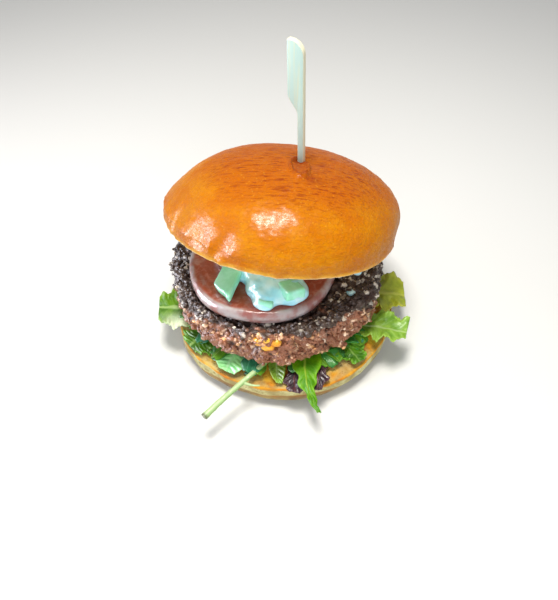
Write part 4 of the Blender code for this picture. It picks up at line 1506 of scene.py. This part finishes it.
@dataclass
class Patty(SubAssembly):
    """The fried patty, with loose crumbs and sweetcorn in its side."""

    centre: Vector = field(default_factory=lambda: Vector((-4, 5, 0)) * MM)
    radius: float = 49 * MM
    base: float = 20 * MM
    height: float = 22 * MM
    edge: float = 4 * MM
    uneven: float = 0.012
    crag_size: float = 8 * MM
    crag_depth: float = 2.6 * MM
    coarse_grain: float = 4.6 * MM
    middle_grain: float = 2.3 * MM
    fine_grain: float = 1.2 * MM
    relief: float = 3.4 * MM
    segments: int = 560
    sunk_depth: float = 1.5 * MM
    crumbs: int = 2900
    crumb_sizes: tuple = (1.1, 2.7)
    crumb_seed: int = 11
    tomato: Tomato = field(default_factory=Tomato)
    kernels: tuple = ((-98.5, 36.6, 5.5), (-94.5, 34.2, 6.5), (-90.5, 36.4, 5), (-94.8, 38, 4.5))

    @property
    def top(self) -> float:
        """The height of the patty's highest grains."""
        return self.base + self.height

    def build(self) -> None:
        """Turn the cake, raise its grains, then add the crumbs and the kernels."""
        inner, edge = self.radius - self.edge, (self.edge, self.edge)
        low = arc((inner, self.base + self.edge), edge, -90, 0, 10)
        high = arc((inner, self.top - self.edge), edge, 0, 90, 14)
        near = (inner * 0.5, self.top)
        profile = [(0, self.base)] + along((0, self.base), low[0], 8) + low
        profile += along(low[-1], high[0], 30) + high + along(high[-1], near, 50) + [near]
        profile += along(near, (0, self.top), 8) + [(0, self.top)]
        patty = lathe("crumbly_patty", profile, self.segments)
        sculpt(patty, self.form)
        paint(patty, "char", self.is_char)
        grains = [self.grains(vert.co) for vert in patty.data.vertices]
        paint_list(patty, "depth", [height for height, tone in grains])
        paint_list(patty, "tone", [tone for height, tone in grains])
        heights = iter(grains)
        sculpt(patty, lambda spot, normal: self.raise_grains(spot, normal, next(heights)[0]))
        self.keep(settle(patty, 180), Slot.PATTY, "patty")
        self.keep(settle(self.make_crumbs(patty), 180), Slot.PATTY)
        self.keep(settle(self.make_kernels(), 180), Slot.PATTY)

    def form(self, place: Vector, normal: Vector) -> Vector:
        """The crags and the uneven outline of the solid.

        Args:
            place: A point of the piece.
            normal: Its normal.

        Returns:
            The point's new place.
        """
        angle, reach = angle_of(place), place.xy.length / self.radius
        crag = noise.noise(place / self.crag_size) + 0.8 * noise.noise(place / (self.crag_size / 2))
        wide = 1 + self.uneven * reach * (math.sin(3 * angle + 0.5) + 0.7 * math.sin(7 * angle))
        is_top = smoothstep(0.5, 0.95, normal.z)
        is_under = smoothstep(0.3, 0.9, -normal.z)
        shift = crag * (1 - is_top) - abs(crag) * is_top
        moved = place + normal * self.crag_depth * shift * (1 - is_under)
        return Vector((moved.x * wide, moved.y * wide, moved.z)) + self.centre

    def grains(self, place: Vector) -> tuple[float, float]:
        """The height of the grains at a point, from 0 to 1, and their tone.

        Args:
            place: A point of the patty.

        Returns:
            The height and the tone.
        """
        bent = place + noise.noise_vector(place / (3.5 * MM)) * 1.2 * MM
        coarse, coarse_tone = granule(bent, self.coarse_grain)
        middle, middle_tone = granule(bent, self.middle_grain)
        fine, fine_tone = granule(bent, self.fine_grain)
        height = 0.42 * coarse + 0.34 * middle + 0.24 * fine
        return height, 0.25 * coarse_tone + 0.45 * middle_tone + 0.3 * fine_tone

    def is_char(self, place: Vector, normal: Vector) -> float:
        """1 where the patty is charred: the top, and the side high up and at the left and right.

        Args:
            place: A point of the piece.
            normal: Its normal.

        Returns:
            The strength of the char there.
        """
        angle = angle_of(place - self.centre)
        line = 38.6 * MM - 8 * MM * smoothstep(0.55, 0.95, abs(math.cos(angle)))
        line += ripple(place, 4.5 * MM, 8 * MM) + ripple(place, 2 * MM, 2.5 * MM)
        by_height = smoothstep(line - MM, line + 1.5 * MM, place.z)
        return max(by_height, smoothstep(0.8, 0.97, normal.z) * smoothstep(36 * MM, 39 * MM, place.z))

    def raise_grains(self, place: Vector, normal: Vector, height: float) -> Vector:
        """Raise the grains. Under the tomato they only go down.

        Args:
            place: A point of the patty.
            normal: Its normal.
            height: How high the grains stand there, from 0 to 1.

        Returns:
            The point's new place.
        """
        if normal.z < -0.8:
            return place
        from_tomato = (place.xy - self.tomato.centre.xy).length
        under = 1 - smoothstep(self.tomato.radius - 2.5 * MM, self.tomato.radius, from_tomato)
        sunk = self.sunk_depth * under * smoothstep(0.5, 0.95, normal.z)
        return place + normal * (self.relief * (height - 0.5) - sunk)

    def make_crumbs(self, patty: Object) -> Object:
        """Scatter loose crumbs over the patty's side and its open top.

        Args:
            patty: The patty that carries them.

        Returns:
            The crumbs as one mesh.
        """
        draw = random.Random(self.crumb_seed)
        crumb = primitive("crumb", bpy.ops.mesh.primitive_uv_sphere_add, segments=8, ring_count=5, radius=0.5)
        verts = patty.data.vertices
        char = patty.data.attributes["char"].data
        places, tones, chars = [], [], []
        while len(places) < self.crumbs:
            i = draw.randrange(len(verts))
            spot, normal = verts[i].co, verts[i].normal
            from_tomato = (spot.xy - self.tomato.centre.xy).length - self.tomato.radius
            if normal.z < -0.3 or (normal.z > 0.3 and from_tomato < MM):
                continue
            size = draw.uniform(*self.crumb_sizes) * MM
            stretch = Vector((size, size * draw.uniform(0.55, 0.9), size * draw.uniform(0.5, 0.8)))
            lying = normal.to_track_quat("Z", "Y").to_matrix().to_4x4()
            lean = Euler((draw.uniform(-0.5, 0.5), draw.uniform(-0.5, 0.5), draw.uniform(0, math.tau)))
            turned = lying @ lean.to_matrix().to_4x4()
            heaped = draw.uniform(0, 1.8) if normal.z > 0.3 and from_tomato < 3 * MM else 0.1
            lift = Vector((0, 0, heaped * MM)) if heaped > 0.1 else normal * 0.1 * MM
            places.append(Matrix.Translation(spot + lift) @ turned @ Matrix.Diagonal(stretch).to_4x4())
            tones.append(min(max(self.grains(spot)[1] + draw.uniform(-0.25, 0.3), 0), 1))
            chars.append(char[i].value)
        count = len(crumb.data.vertices)
        crumbs = scatter(crumb, places, "patty_crumbs", tones)
        paint_list(crumbs, "char", [value for value in chars for _ in range(count)])
        paint(crumbs, "depth", lambda spot, normal: 0.75)
        sculpt(crumbs, lambda spot, normal: spot + noise.noise_vector(spot / (1.1 * MM)) * 0.48 * MM)
        return crumbs

    def make_kernels(self) -> Object:
        """The sweetcorn kernels that stand out of the side.

        Returns:
            The kernels as one mesh.
        """
        made = []
        for i, (angle, height, length) in enumerate(self.kernels):
            kernel = primitive(
                f"kernel_{i}", bpy.ops.mesh.primitive_ico_sphere_add, subdivisions=4, radius=length / 2 * MM
            )
            turn = math.radians(angle)
            reach = self.radius + 0.3 * MM
            spot = self.centre + Vector((reach * math.cos(turn), reach * math.sin(turn), height * MM))
            shape = Matrix.Diagonal((0.8, 1.0, 0.75, 1.0))
            place(kernel, Matrix.Translation(spot) @ Matrix.Rotation(turn, 4, "Z") @ shape)
            sculpt(kernel, lambda spot, normal: spot + normal * 0.4 * MM * noise.noise(spot / (2.2 * MM)))
            made.append(kernel)
        return join(made, "sweetcorn")

    def dress(self) -> None:
        """Brown the grains and colour the sweetcorn."""
        patty, crumbs, kernels = self.pieces
        self.wear(PATTY.make(), patty, crumbs)
        self.wear(CORN.make(), kernels)


@dataclass
class Dressing(SubAssembly):
    """The white sauce with its cucumber dice, and the drops that fell on the patty."""

    floor: float = 48.9 * MM
    crown_gap: float = 0.3 * MM
    crown: Crown = field(default_factory=Crown)
    balls: tuple = (
        ((-7, -24, 50), (11, 12, 6.5)),
        ((-9, -32, 49.6), (6, 6, 3.6)),
        ((2, -27, 49.8), (8, 8, 5)),
        ((-15, -15, 51), (9, 8, 6.5)),
        ((-8, -9, 51.5), (15, 11, 9)),
        ((-24, -5, 51.5), (9, 8, 6.5)),
        ((-3, 3, 50.5), (10, 9, 6)),
    )
    dice: tuple = (
        ("left", (-24.8, -22.4, 52.4), (10, 16.3, 3.8), (8, -10, -21), 0.67),
        ("right", (2.2, -29.5, 53), (9.5, 9, 5.5), (-8, 10, 28), 0),
        ("low", (-8.5, -34.3, 51), (7, 5.5, 3), (-10, 4, -14), 0),
    )
    drops: tuple = (((32.6, -8.2, 43.2), (2.4, 1.8, 1.8)), ((29, -20, 41.6), (2.0, 1.6, 1.1)))
    voxel: float = 0.6 * MM
    round_edge: float = 1.1 * MM

    def build(self) -> None:
        """Pour the sauce, lay the dice and let the drops fall."""
        self.keep(self.make_sauce(), Slot.SAUCE, "white_sauce")
        for name, *shape in self.dice:
            self.keep(self.make_die(name, *shape), Slot.CUCUMBER, f"cucumber_{name}")
        self.keep(self.make_drops(), Slot.SAUCE)

    def make_ball(self, name: str, centre: Point, radii: Point) -> Object:
        """One squashed ball, in millimetres.

        Args:
            name: The ball's name.
            centre: Its middle.
            radii: Its three half axes.

        Returns:
            The ball.
        """
        ball = primitive(name, bpy.ops.mesh.primitive_ico_sphere_add, subdivisions=5, radius=1)
        place(ball, Matrix.Translation(Vector(centre) * MM) @ Matrix.Diagonal((*(r * MM for r in radii), 1)))
        return ball

    def make_sauce(self) -> Object:
        """The dollop: balls that run together, with soft folds.

        Returns:
            The finished dollop.
        """
        balls = [self.make_ball(f"ball_{i}", *values) for i, values in enumerate(self.balls)]
        sauce = join(balls, "sauce_dollop")
        modify(sauce, "REMESH", mode="VOXEL", voxel_size=self.voxel)
        modify(sauce, "SMOOTH", factor=0.6, iterations=8)
        sculpt(sauce, self.fold)
        return settle(sauce, 180)

    def fold(self, place: Vector, normal: Vector) -> Vector:
        """Creamy folds, kept above the tomato and below the crown's cut face.

        Args:
            place: A point of the piece.
            normal: Its normal.

        Returns:
            The point's new place.
        """
        bent = place + noise.noise_vector(place / (7 * MM)) * 2 * MM
        moved = place + normal * (ripple(bent, 0.9 * MM, 4 * MM) - 0.2 * MM)
        up = self.crown.matrix().to_3x3() @ Vector((0, 0, 1))
        above = (moved - self.crown.centre).dot(up) + self.crown_gap
        if above > 0:
            moved -= up * above
        moved.z = max(moved.z, self.floor)
        return moved

    def make_die(self, name: str, centre: Point, size: Point, turn: Point, slant: float) -> Object:
        """One die of cucumber with soft edges and slightly crooked faces.

        Args:
            name: Which die it is.
            centre: Its middle, in millimetres.
            size: Its three sides, in millimetres.
            turn: Its turn round the three axes, in degrees.
            slant: How far its front end is cut off at a slant, for each unit of width.

        Returns:
            The finished die.
        """
        die = primitive(f"cucumber_die_{name}", bpy.ops.mesh.primitive_cube_add, size=1)
        edit(die, "FACE")
        bpy.ops.mesh.subdivide(number_cuts=17)
        leave_edit()
        half = Vector(size) * MM / 2
        place(die, Matrix.Diagonal((*(2 * half), 1)))
        sculpt(die, lambda spot, normal: self.ease(spot, half))
        sculpt(die, lambda spot, normal: spot - Vector((0, slant * spot.x * max(-spot.y / half.y, 0), 0)))
        turned = Euler([math.radians(a) for a in turn]).to_matrix().to_4x4()
        place(die, Matrix.Translation(Vector(centre) * MM) @ turned)
        return settle(die, 180)

    def ease(self, spot: Vector, half: Vector) -> Vector:
        """Round a box's edges and make its faces uneven.

        Args:
            spot: A point on the box.
            half: Half the box's size.

        Returns:
            The point's new place.
        """
        radius = self.round_edge
        core = Vector([max(min(x, h - radius), radius - h) for x, h in zip(spot, half)])
        out = spot - core
        rounded = core + out.normalized() * radius if out.length > 0 else spot
        return rounded + rounded.normalized() * 0.5 * MM * (noise.noise(rounded / (4 * MM)) - 0.4)

    def make_drops(self) -> Object:
        """The small drops of sauce on the patty.

        Returns:
            The drops as one mesh.
        """
        made = [self.make_ball(f"drop_{i}", *values) for i, values in enumerate(self.drops)]
        drops = join(made, "sauce_drops")
        sculpt(drops, lambda spot, normal: spot + normal * 0.5 * MM * noise.noise(spot / (1.6 * MM)))
        return settle(drops, 180)

    def dress(self) -> None:
        """Colour the sauce, its drops and the dice."""
        sauce, *dice, drops = self.pieces
        self.wear(SAUCE.make(), sauce, drops)
        self.wear(CUCUMBER.make(), *dice)


@dataclass(frozen=True)
class Leaf:
    """A leaf's form along its midrib from root to tip, in millimetres, as the solid has it."""

    name: str
    kind: LeafKind
    route: tuple
    half_widths: tuple
    ruffle: float
    waves: float
    lobes: float = 0.0
    cup: float = 0.0
    teeth: float = 0.0
    blanch: tuple | None = None

    @property
    def side(self) -> Vector:
        """The level direction across the leaf's root."""
        ahead = Vector(self.route[1]) - Vector(self.route[0])
        return Vector((-ahead.y, ahead.x, 0)).normalized()


LEAVES = (
    Leaf(
        "lettuce_left",
        LeafKind.LETTUCE,
        ((-42, -9, 18), (-48, -9.5, 18.1), (-55, -9.5, 18.8), (-61.5, -8.5, 18.2)),
        (8.5, 10.5, 12, 7),
        ruffle=1.3,
        waves=2.5,
        lobes=0.1,
        cup=0.8,
        teeth=0.05,
        blanch=(0.9, 0.55),
    ),
    Leaf(
        "leaf_green_left",
        LeafKind.GREEN,
        ((-34.5, -21.3, 15.9), (-38.8, -25.1, 15.9), (-42, -27.9, 15.6), (-44.3, -30, 15.1)),
        (6.5, 7.5, 8.5, 5),
        ruffle=0.6,
        waves=2.5,
        lobes=0.12,
        teeth=0.06,
    ),
    Leaf(
        "leaf_mint_left",
        LeafKind.MINT,
        ((-20.5, -31, 16.8), (-22.8, -35.8, 16.7), (-25.2, -40.4, 16.2), (-26.8, -44, 15.6)),
        (4.5, 6.2, 7.4, 4),
        ruffle=0.5,
        waves=1.5,
        cup=0.5,
    ),
    Leaf(
        "leaf_teal_left",
        LeafKind.TEAL,
        ((-12.2, -34, 15.7), (-13.7, -39.5, 15.7), (-16, -46, 15.1)),
        (3.6, 4.4, 2.6),
        ruffle=0.3,
        waves=1.0,
    ),
    Leaf(
        "leaf_pale_middle",
        LeafKind.PALE,
        ((-3.9, -34, 16.2), (-4, -40.5, 16.3), (-3.7, -46, 16.1), (-3, -50.5, 15.4)),
        (3.2, 3.9, 3.2, 1.2),
        ruffle=0.4,
        waves=1.5,
    ),
    Leaf(
        "leaf_red_left",
        LeafKind.RED,
        ((5.2, -34, 15.1), (4.6, -42, 15.1), (4.2, -49, 14.5), (4.2, -54.5, 13.9)),
        (2.8, 3.8, 4.4, 2.6),
        ruffle=0.4,
        waves=2.5,
        lobes=0.25,
        teeth=0.12,
    ),
    Leaf(
        "leaf_green_front",
        LeafKind.LIME,
        ((9.6, -34, 18.2), (9.3, -42, 18.2), (9.3, -50, 17.6), (11, -58.5, 16.2), (14, -65.5, 15)),
        (6.4, 6.6, 3.8, 1.9, 0.7),
        ruffle=0.4,
        waves=3.0,
        lobes=0.3,
        cup=-0.7,
        teeth=0.08,
    ),
    Leaf(
        "leaf_red_right",
        LeafKind.RED,
        ((15.4, -33, 15.5), (15.2, -40.5, 15.5), (14.8, -47.5, 15), (14, -53, 14.2)),
        (3.2, 3.8, 3.8, 1.6),
        ruffle=0.4,
        waves=2.0,
        lobes=0.18,
        teeth=0.12,
    ),
    # The darker green kind here is painted shade, because this piece lies under leaf_right.
    Leaf(
        "leaf_right_low",
        LeafKind.GREEN,
        ((25.5, -24.5, 16.2), (28.6, -29.4, 16.2), (31.6, -34.2, 15.8), (34, -38.4, 15.3)),
        (4, 4.8, 5.6, 3),
        ruffle=0.7,
        waves=2.5,
        lobes=0.15,
        teeth=0.06,
    ),
    Leaf(
        "leaf_right",
        LeafKind.PALE,
        ((32.5, -16.5, 17.6), (39, -18.5, 17.8), (47, -21, 19.4), (57, -23.5, 18.8)),
        (6, 7.5, 8.5, 6),
        ruffle=1.5,
        waves=3.0,
        lobes=0.16,
        cup=1.2,
        teeth=0.08,
    ),
    Leaf(
        "leaf_right_back",
        LeafKind.OLIVE,
        ((34.5, 4, 17.2), (41, 3.5, 17.4), (50, 3, 18.4), (59.5, 2, 17.6)),
        (8, 11, 13, 9),
        ruffle=1.3,
        waves=2.5,
        lobes=0.12,
        cup=0.8,
        teeth=0.05,
    ),
    Leaf(
        "leaf_back_right",
        LeafKind.GREEN,
        ((24, 30, 17), (29.5, 35.5, 17), (37, 43, 16.4), (43, 49, 15.2)),
        (6, 7, 7.5, 3),
        ruffle=0.9,
        waves=2.5,
        lobes=0.15,
        teeth=0.06,
    ),
    Leaf(
        "leaf_back",
        LeafKind.LIME,
        ((-3, 42, 17), (-2.5, 49, 17), (-1, 56.5, 16.4), (1.5, 63, 14.8)),
        (6, 7.5, 6, 2),
        ruffle=0.8,
        waves=3.0,
        lobes=0.22,
        teeth=0.08,
    ),
    Leaf(
        "leaf_back_left",
        LeafKind.RED,
        ((-32, 29, 17), (-38, 34, 17), (-46, 40, 17), (-52.5, 44.5, 15.6)),
        (7, 8, 8.5, 3),
        ruffle=1.0,
        waves=2.5,
        lobes=0.15,
        teeth=0.08,
    ),
)


@dataclass
class Salad(SubAssembly):
    """The leaves, the pressed bed that they grow out of, and the scraps at its edge."""

    steps: int = 60
    strips: int = 28
    thickness: float = 0.55 * MM
    bed_centre: Vector = field(default_factory=lambda: Vector((-3.5, 3.5, 0)) * MM)
    bed_radius: float = 45 * MM
    bed_low: float = 14.35 * MM
    bed_high: float = 19.65 * MM
    quilt_depth: float = 0.3
    rib_depth: float = 0.15
    frill_depth: float = 0.5
    scraps: int = 60
    scrap_widths: tuple = (2.2, 4.2)
    scrap_lengths: tuple = (2.5, 4.5)
    scrap_curls: tuple = (0.3, 1.1)
    scrap_tilts: tuple = (-0.25, 0.1)
    scrap_thickness: float = 0.35 * MM
    scrap_margin: float = 1.2 * MM
    scrap_root: float = 2 * MM
    shown: tuple = (math.radians(-58), math.radians(-36))
    wardrobe: dict = field(default_factory=dict, init=False)

    def build(self) -> None:
        """Grow the leaves, then fill the bed and its edge."""
        pale = (LeafKind.PALE, LeafKind.LETTUCE, LeafKind.MINT)
        slots = {LeafKind.RED: Slot.RED_LEAF, **{kind: Slot.PALE_LEAF for kind in pale}}
        for leaf in LEAVES:
            made = self.make_leaf(leaf)
            self.keep(made, slots.get(leaf.kind, Slot.GREEN_LEAF), leaf.name)
            self.wardrobe[made.name] = leaf.kind
        bed = self.keep(self.make_bed(), Slot.GREEN_LEAF, "salad_bed")
        self.wardrobe[bed.name] = LeafKind.BED
        for kind in (LeafKind.TEAL, LeafKind.GREEN, LeafKind.BED):
            scraps = self.keep(self.make_scraps(kind), Slot.GREEN_LEAF)
            self.wardrobe[scraps.name] = kind

    def make_leaf(self, leaf: Leaf) -> Object:
        """One leaf, as a grid that is bent to its form and given its thickness.

        Args:
            leaf: The leaf's form.

        Returns:
            The finished leaf.
        """
        made = primitive(
            leaf.name + "_fine",
            bpy.ops.mesh.primitive_grid_add,
            x_subdivisions=self.strips,
            y_subdivisions=self.steps,
            size=2,
            calc_uvs=True,
        )
        spines = smooth_route(leaf.route, self.steps)
        widths = smooth_route(leaf.half_widths, self.steps)
        edges, blanched = [], []
        for vert in made.data.vertices:
            across, share = vert.co.x, (vert.co.y + 1) / 2
            row = round(share * self.steps)
            edges.append(smoothstep(0.6, 1.0, abs(across)))
            blanched.append(self.is_blanched(leaf, across, share))
            vert.co = self.leaf_point(leaf, spines[row], widths[row].x, share, across) * MM
        paint_list(made, "edge", edges)
        paint_list(made, "blanch", blanched)
        modify(made, "SOLIDIFY", thickness=self.thickness, offset=0)
        return settle(made, 180)

    def is_blanched(self, leaf: Leaf, across: float, share: float) -> float:
        """How white the leaf is at a point, beside a thick rib.

        Args:
            leaf: The leaf's form.
            across: How far across the leaf the point is, from -1 to 1.
            share: How far along it the point is, from 0 to 1.

        Returns:
            The strength of the white there.
        """
        if leaf.blanch is None:
            return 0.0
        return bell(math.hypot((across - leaf.blanch[0]) / 0.5, (share - leaf.blanch[1]) / 0.25))

    def leaf_point(self, leaf: Leaf, spine: Vector, half_width: float, share: float, across: float) -> Vector:
        """A point of a leaf's middle surface, in millimetres.

        Args:
            leaf: The leaf's form.
            spine: The midrib's point there.
            half_width: Half the leaf's width there.
            share: How far along the leaf the point is, from 0 to 1.
            across: How far across it is, from -1 to 1.

        Returns:
            The point, with the solid's waves and the finer veins, teeth and frills.
        """
        grows = smoothstep(0.25, 0.6, share)
        lobe = 1 + leaf.lobes * grows * math.sin(math.tau * (leaf.waves + 1) * share + (across > 0) * 1.3)
        jagged = noise.noise(Vector((share * 9, across * 0.6, spine.x))) * 3
        lobe += leaf.teeth * grows * jagged * smoothstep(0.5, 1.0, abs(across))
        point = spine + leaf.side * across * half_width * lobe
        wave = math.sin(math.tau * leaf.waves * share + (1.9 if across > 0 else 0))
        point.z += grows * (leaf.ruffle * abs(across) ** 1.6 * wave + leaf.cup * across * across)
        phase = (share - VEIN_SLOPE * abs(across)) * leaf.kind.value.branches
        quilt = 0.5 - 0.5 * math.cos(math.tau * (phase + 0.5))
        beside_rib = self.quilt_depth * quilt * smoothstep(0.05, 0.3, abs(across))
        point.z += grows * (beside_rib - self.rib_depth * bell(across / 0.06))
        frill = math.sin(math.tau * 8 * share + 2 * math.sin(9 * share) + (across > 0) * 2)
        point.z += grows * self.frill_depth * frill * smoothstep(0.5, 1.0, abs(across)) * (leaf.ruffle > 0.5)
        point.z += grows * 0.9 * noise.noise(point / 4.5)
        return point

    def make_bed(self) -> Object:
        """The pressed leaves: a copy of the solid, merged, made finer and crumpled.

        Returns:
            The finished bed.
        """
        solid_bed = frame["nodes"]["salad_bed"]
        bed = bpy.data.objects.new("salad_core", solid_bed.data.copy())
        bpy.context.scene.collection.objects.link(bed)
        edit(bed)
        bpy.ops.mesh.remove_doubles(threshold=MM / 1000)
        leave_edit()
        modify(bed, "SUBSURF", subdivision_type="SIMPLE", levels=2, render_levels=2)
        sculpt(bed, self.crumple)
        paint(bed, "edge", lambda place, normal: 0.5 + ripple(place, 0.5, 5 * MM))
        paint(bed, "blanch", lambda place, normal: 0.0)
        return settle(bed, 180)

    def crumple(self, place: Vector, normal: Vector) -> Vector:
        """Small folds in the bed's side.

        Args:
            place: A point of the piece.
            normal: Its normal.

        Returns:
            The point's new place.
        """
        reach = (place.xy - self.bed_centre.xy).length
        at_edge = smoothstep(0.85 * self.bed_radius, self.bed_radius, reach)
        squashed = Vector((place.x, place.y, place.z * 2.5))
        return place + normal * 0.9 * MM * at_edge * noise.noise(squashed / (2.5 * MM))

    def make_scraps(self, kind: LeafKind) -> Object:
        """Small curled leaf ends of one kind, all round the bed's edge.

        Args:
            kind: The kind of leaf.

        Returns:
            The scraps as one mesh.
        """
        draw = random.Random(kind.value.name)
        made = []
        for i in range(self.scraps // 3):
            scrap = primitive(
                f"scrap_{i}",
                bpy.ops.mesh.primitive_grid_add,
                x_subdivisions=8,
                y_subdivisions=10,
                size=2,
                calc_uvs=True,
            )
            angle = draw.uniform(*self.shown) if i % 4 == 0 else draw.uniform(0, math.tau)
            width = draw.uniform(*self.scrap_widths) * MM
            length = draw.uniform(*self.scrap_lengths) * MM
            height = draw.uniform(self.bed_low + self.scrap_margin, self.bed_high - self.scrap_margin)
            curl = draw.uniform(*self.scrap_curls) * MM
            tilt = draw.uniform(*self.scrap_tilts)
            phase = draw.uniform(0, 6)
            for vert in scrap.data.vertices:
                across, out = vert.co.x, (vert.co.y + 1) / 2
                taper = math.sqrt(max(1 - out * out * 0.8, 0.05)) * (1 + 0.12 * math.sin(9 * out + phase))
                z = curl * math.sin(2.6 * across + phase) * out + tilt * 2 * length * out * out
                reach = self.bed_radius - self.scrap_root + 2 * length * out
                vert.co = (reach, across * width * taper, z)
            lifted = Matrix.Translation(self.bed_centre + Vector((0, 0, height)))
            place(scrap, lifted @ Matrix.Rotation(angle, 4, "Z"))
            made.append(scrap)
        scraps = join(made, kind.name.lower() + "_scraps")
        modify(scraps, "SOLIDIFY", thickness=self.scrap_thickness, offset=0)
        paint(scraps, "edge", lambda spot, normal: 0.5)
        paint(scraps, "blanch", lambda spot, normal: 0.0)
        return settle(scraps, 180)

    def dress(self) -> None:
        """Colour each piece as its kind of leaf."""
        finishes = {kind: kind.value.make() for kind in LeafKind}
        for piece in self.pieces:
            self.wear(finishes[self.wardrobe[piece.name]], piece)


@dataclass
class Stalk(SubAssembly):
    """The rocket stalk over the heel's front edge, with the spur of a leaf that broke off."""

    route: tuple = ((-5, -36, 18), (-12, -44, 17.9), (-20, -52, 17), (-28, -60, 16), (-35, -67.5, 14.8))
    radii: tuple = (1.1, 1.15, 1.2, 1.35, 1.6)
    spur: tuple = ((-19, -51.2, 17.1), (-15, -52.5, 16.6), (-11.5, -53, 17))
    spur_radii: tuple = (0.8, 0.55, 0.35)
    steps: int = 90

    def build(self) -> None:
        """Draw the stalk and its spur along their routes."""
        shaft = self.make_tube("stalk", self.route, self.radii)
        spur = self.make_tube("spur", self.spur, self.spur_radii)
        stalk = join([shaft, spur], "stalk_fine")
        paint(stalk, "tip", self.is_tip)
        paint(stalk, "lit", lambda spot, normal: smoothstep(-0.4, 0.8, normal.z - 0.5 * normal.x))
        sculpt(stalk, lambda spot, normal: spot + normal * 0.12 * MM * noise.noise(spot / (1.5 * MM)))
        self.keep(settle(stalk), Slot.STALK, "rocket_stalk")

    def is_tip(self, place: Vector, normal: Vector) -> float:
        """1 at the dark cut end, 0 along the stalk."""
        end = Vector(self.route[-1]) * MM
        return 1 - smoothstep(0.9 * MM, 1.9 * MM, (place - end).length - 0.4 * MM)

    def make_tube(self, name: str, route: tuple, radii: tuple) -> Object:
        """A round tube along a smooth route, in millimetres.

        Args:
            name: The tube's name.
            route: The points that it follows.
            radii: Its radius at each of them.

        Returns:
            The tube as a mesh.
        """
        curve = bpy.data.curves.new(name, "CURVE")
        curve.dimensions = "3D"
        curve.bevel_depth = MM
        curve.bevel_resolution = 5
        curve.use_fill_caps = True
        line = curve.splines.new("POLY")
        line.points.add(self.steps)
        sizes = smooth_route(radii, self.steps)
        for point, spot, size in zip(line.points, smooth_route(route, self.steps), sizes):
            point.co = (*(spot * MM), 1)
            point.radius = size.x
        made = bpy.data.objects.new(name, curve)
        bpy.context.scene.collection.objects.link(made)
        activate(made)
        bpy.ops.object.convert(target="MESH")
        return bpy.context.object

    def dress(self) -> None:
        """Colour the stalk."""
        self.wear(STALK.make(), *self.pieces)


@dataclass
class Studio:
    """The floor, the lights and the camera."""

    target: Vector = field(default_factory=lambda: Vector((-3.1, -1.0, 16.3)) * MM)
    elevation: float = math.radians(47)
    distance: float = 0.299
    lens: float = 36.0
    sensor: float = 36.0
    nearest: float = 10 * MM
    floor_size: float = 4.0
    floor_colour: Colour = (0.78, 0.78, 0.77)
    floor_roughness: float = 0.7
    sky: Colour = (0.95, 0.97, 1.0)
    sky_strength: float = 0.30
    lit_height: float = 45 * MM

    def build(self) -> None:
        """Lay the floor, hang the lights and set the camera."""
        floor = primitive("floor", bpy.ops.mesh.primitive_plane_add, size=self.floor_size)
        material = bpy.data.materials.new("floor")
        material.use_nodes = True
        shader = material.node_tree.nodes["Principled BSDF"]
        shader.inputs["Base Color"].default_value = solid(self.floor_colour)
        shader.inputs["Roughness"].default_value = self.floor_roughness
        floor.data.materials.append(material)
        self.hang("key", (-0.04, -0.02, 0.58), 0.17, 3.6, (1.0, 0.97, 0.90))
        self.hang("left", (-0.40, 0.02, 0.14), 0.3, 0.45, (1.0, 0.95, 0.98))
        front = self.hang("front", (0.02, -0.55, 0.20), 0.4, 1.6, (0.92, 0.96, 1.0))
        front.visible_glossy = False
        sheen = self.hang("sheen", (-0.42, -0.07, 0.16), 0.34, 6.6, (0.86, 0.88, 1.0))
        sheen.visible_diffuse = False
        world = bpy.data.worlds.new("studio")
        world.use_nodes = True
        background = world.node_tree.nodes["Background"]
        background.inputs["Color"].default_value = solid(self.sky)
        background.inputs["Strength"].default_value = self.sky_strength
        bpy.context.scene.world = world
        bpy.context.scene.view_settings.view_transform = "Standard"
        self.aim_camera()

    def hang(self, name: str, spot: Point, size: float, watts: float, colour: Colour) -> Object:
        """Hang a square soft light that faces the burger.

        Args:
            name: The light's name.
            spot: Its place.
            size: The length of its side.
            watts: Its power.
            colour: Its colour.

        Returns:
            The light's object.
        """
        light = bpy.data.lights.new(name, "AREA")
        light.size = size
        light.energy = watts
        light.color = colour
        lamp = bpy.data.objects.new(name, light)
        lamp.location = spot
        back = Vector(spot) - Vector((0, 0, self.lit_height))
        lamp.rotation_euler = back.to_track_quat("Z", "Y").to_euler()
        bpy.context.scene.collection.objects.link(lamp)
        return lamp

    def aim_camera(self) -> None:
        """Set the camera to the photo's angle."""
        back = Vector((0, -math.cos(self.elevation), math.sin(self.elevation)))
        camera = bpy.data.cameras.new("camera")
        camera.lens = self.lens
        camera.sensor_width = self.sensor
        camera.clip_start = self.nearest
        stand = bpy.data.objects.new("camera", camera)
        stand.location = self.target + back * self.distance
        stand.rotation_euler = back.to_track_quat("Z", "Y").to_euler()
        bpy.context.scene.collection.objects.link(stand)
        bpy.context.scene.camera = stand


def main() -> None:
    """Build and dress every sub-assembly, then the studio round them."""
    logging.basicConfig(level=logging.INFO, format="%(name)s: %(message)s")
    noise.seed_set(NOISE_SEED)
    Studio().build()
    for part in (Heel(), Salad(), Stalk(), Patty(), Tomato(), Dressing(), Crown(), Pick()):
        part.build()
        part.dress()
        for piece in part.pieces:
            log.info("%s: %s, %d faces", type(part).__name__, piece.name, len(piece.data.polygons))


if __name__ == "__main__":
    main()
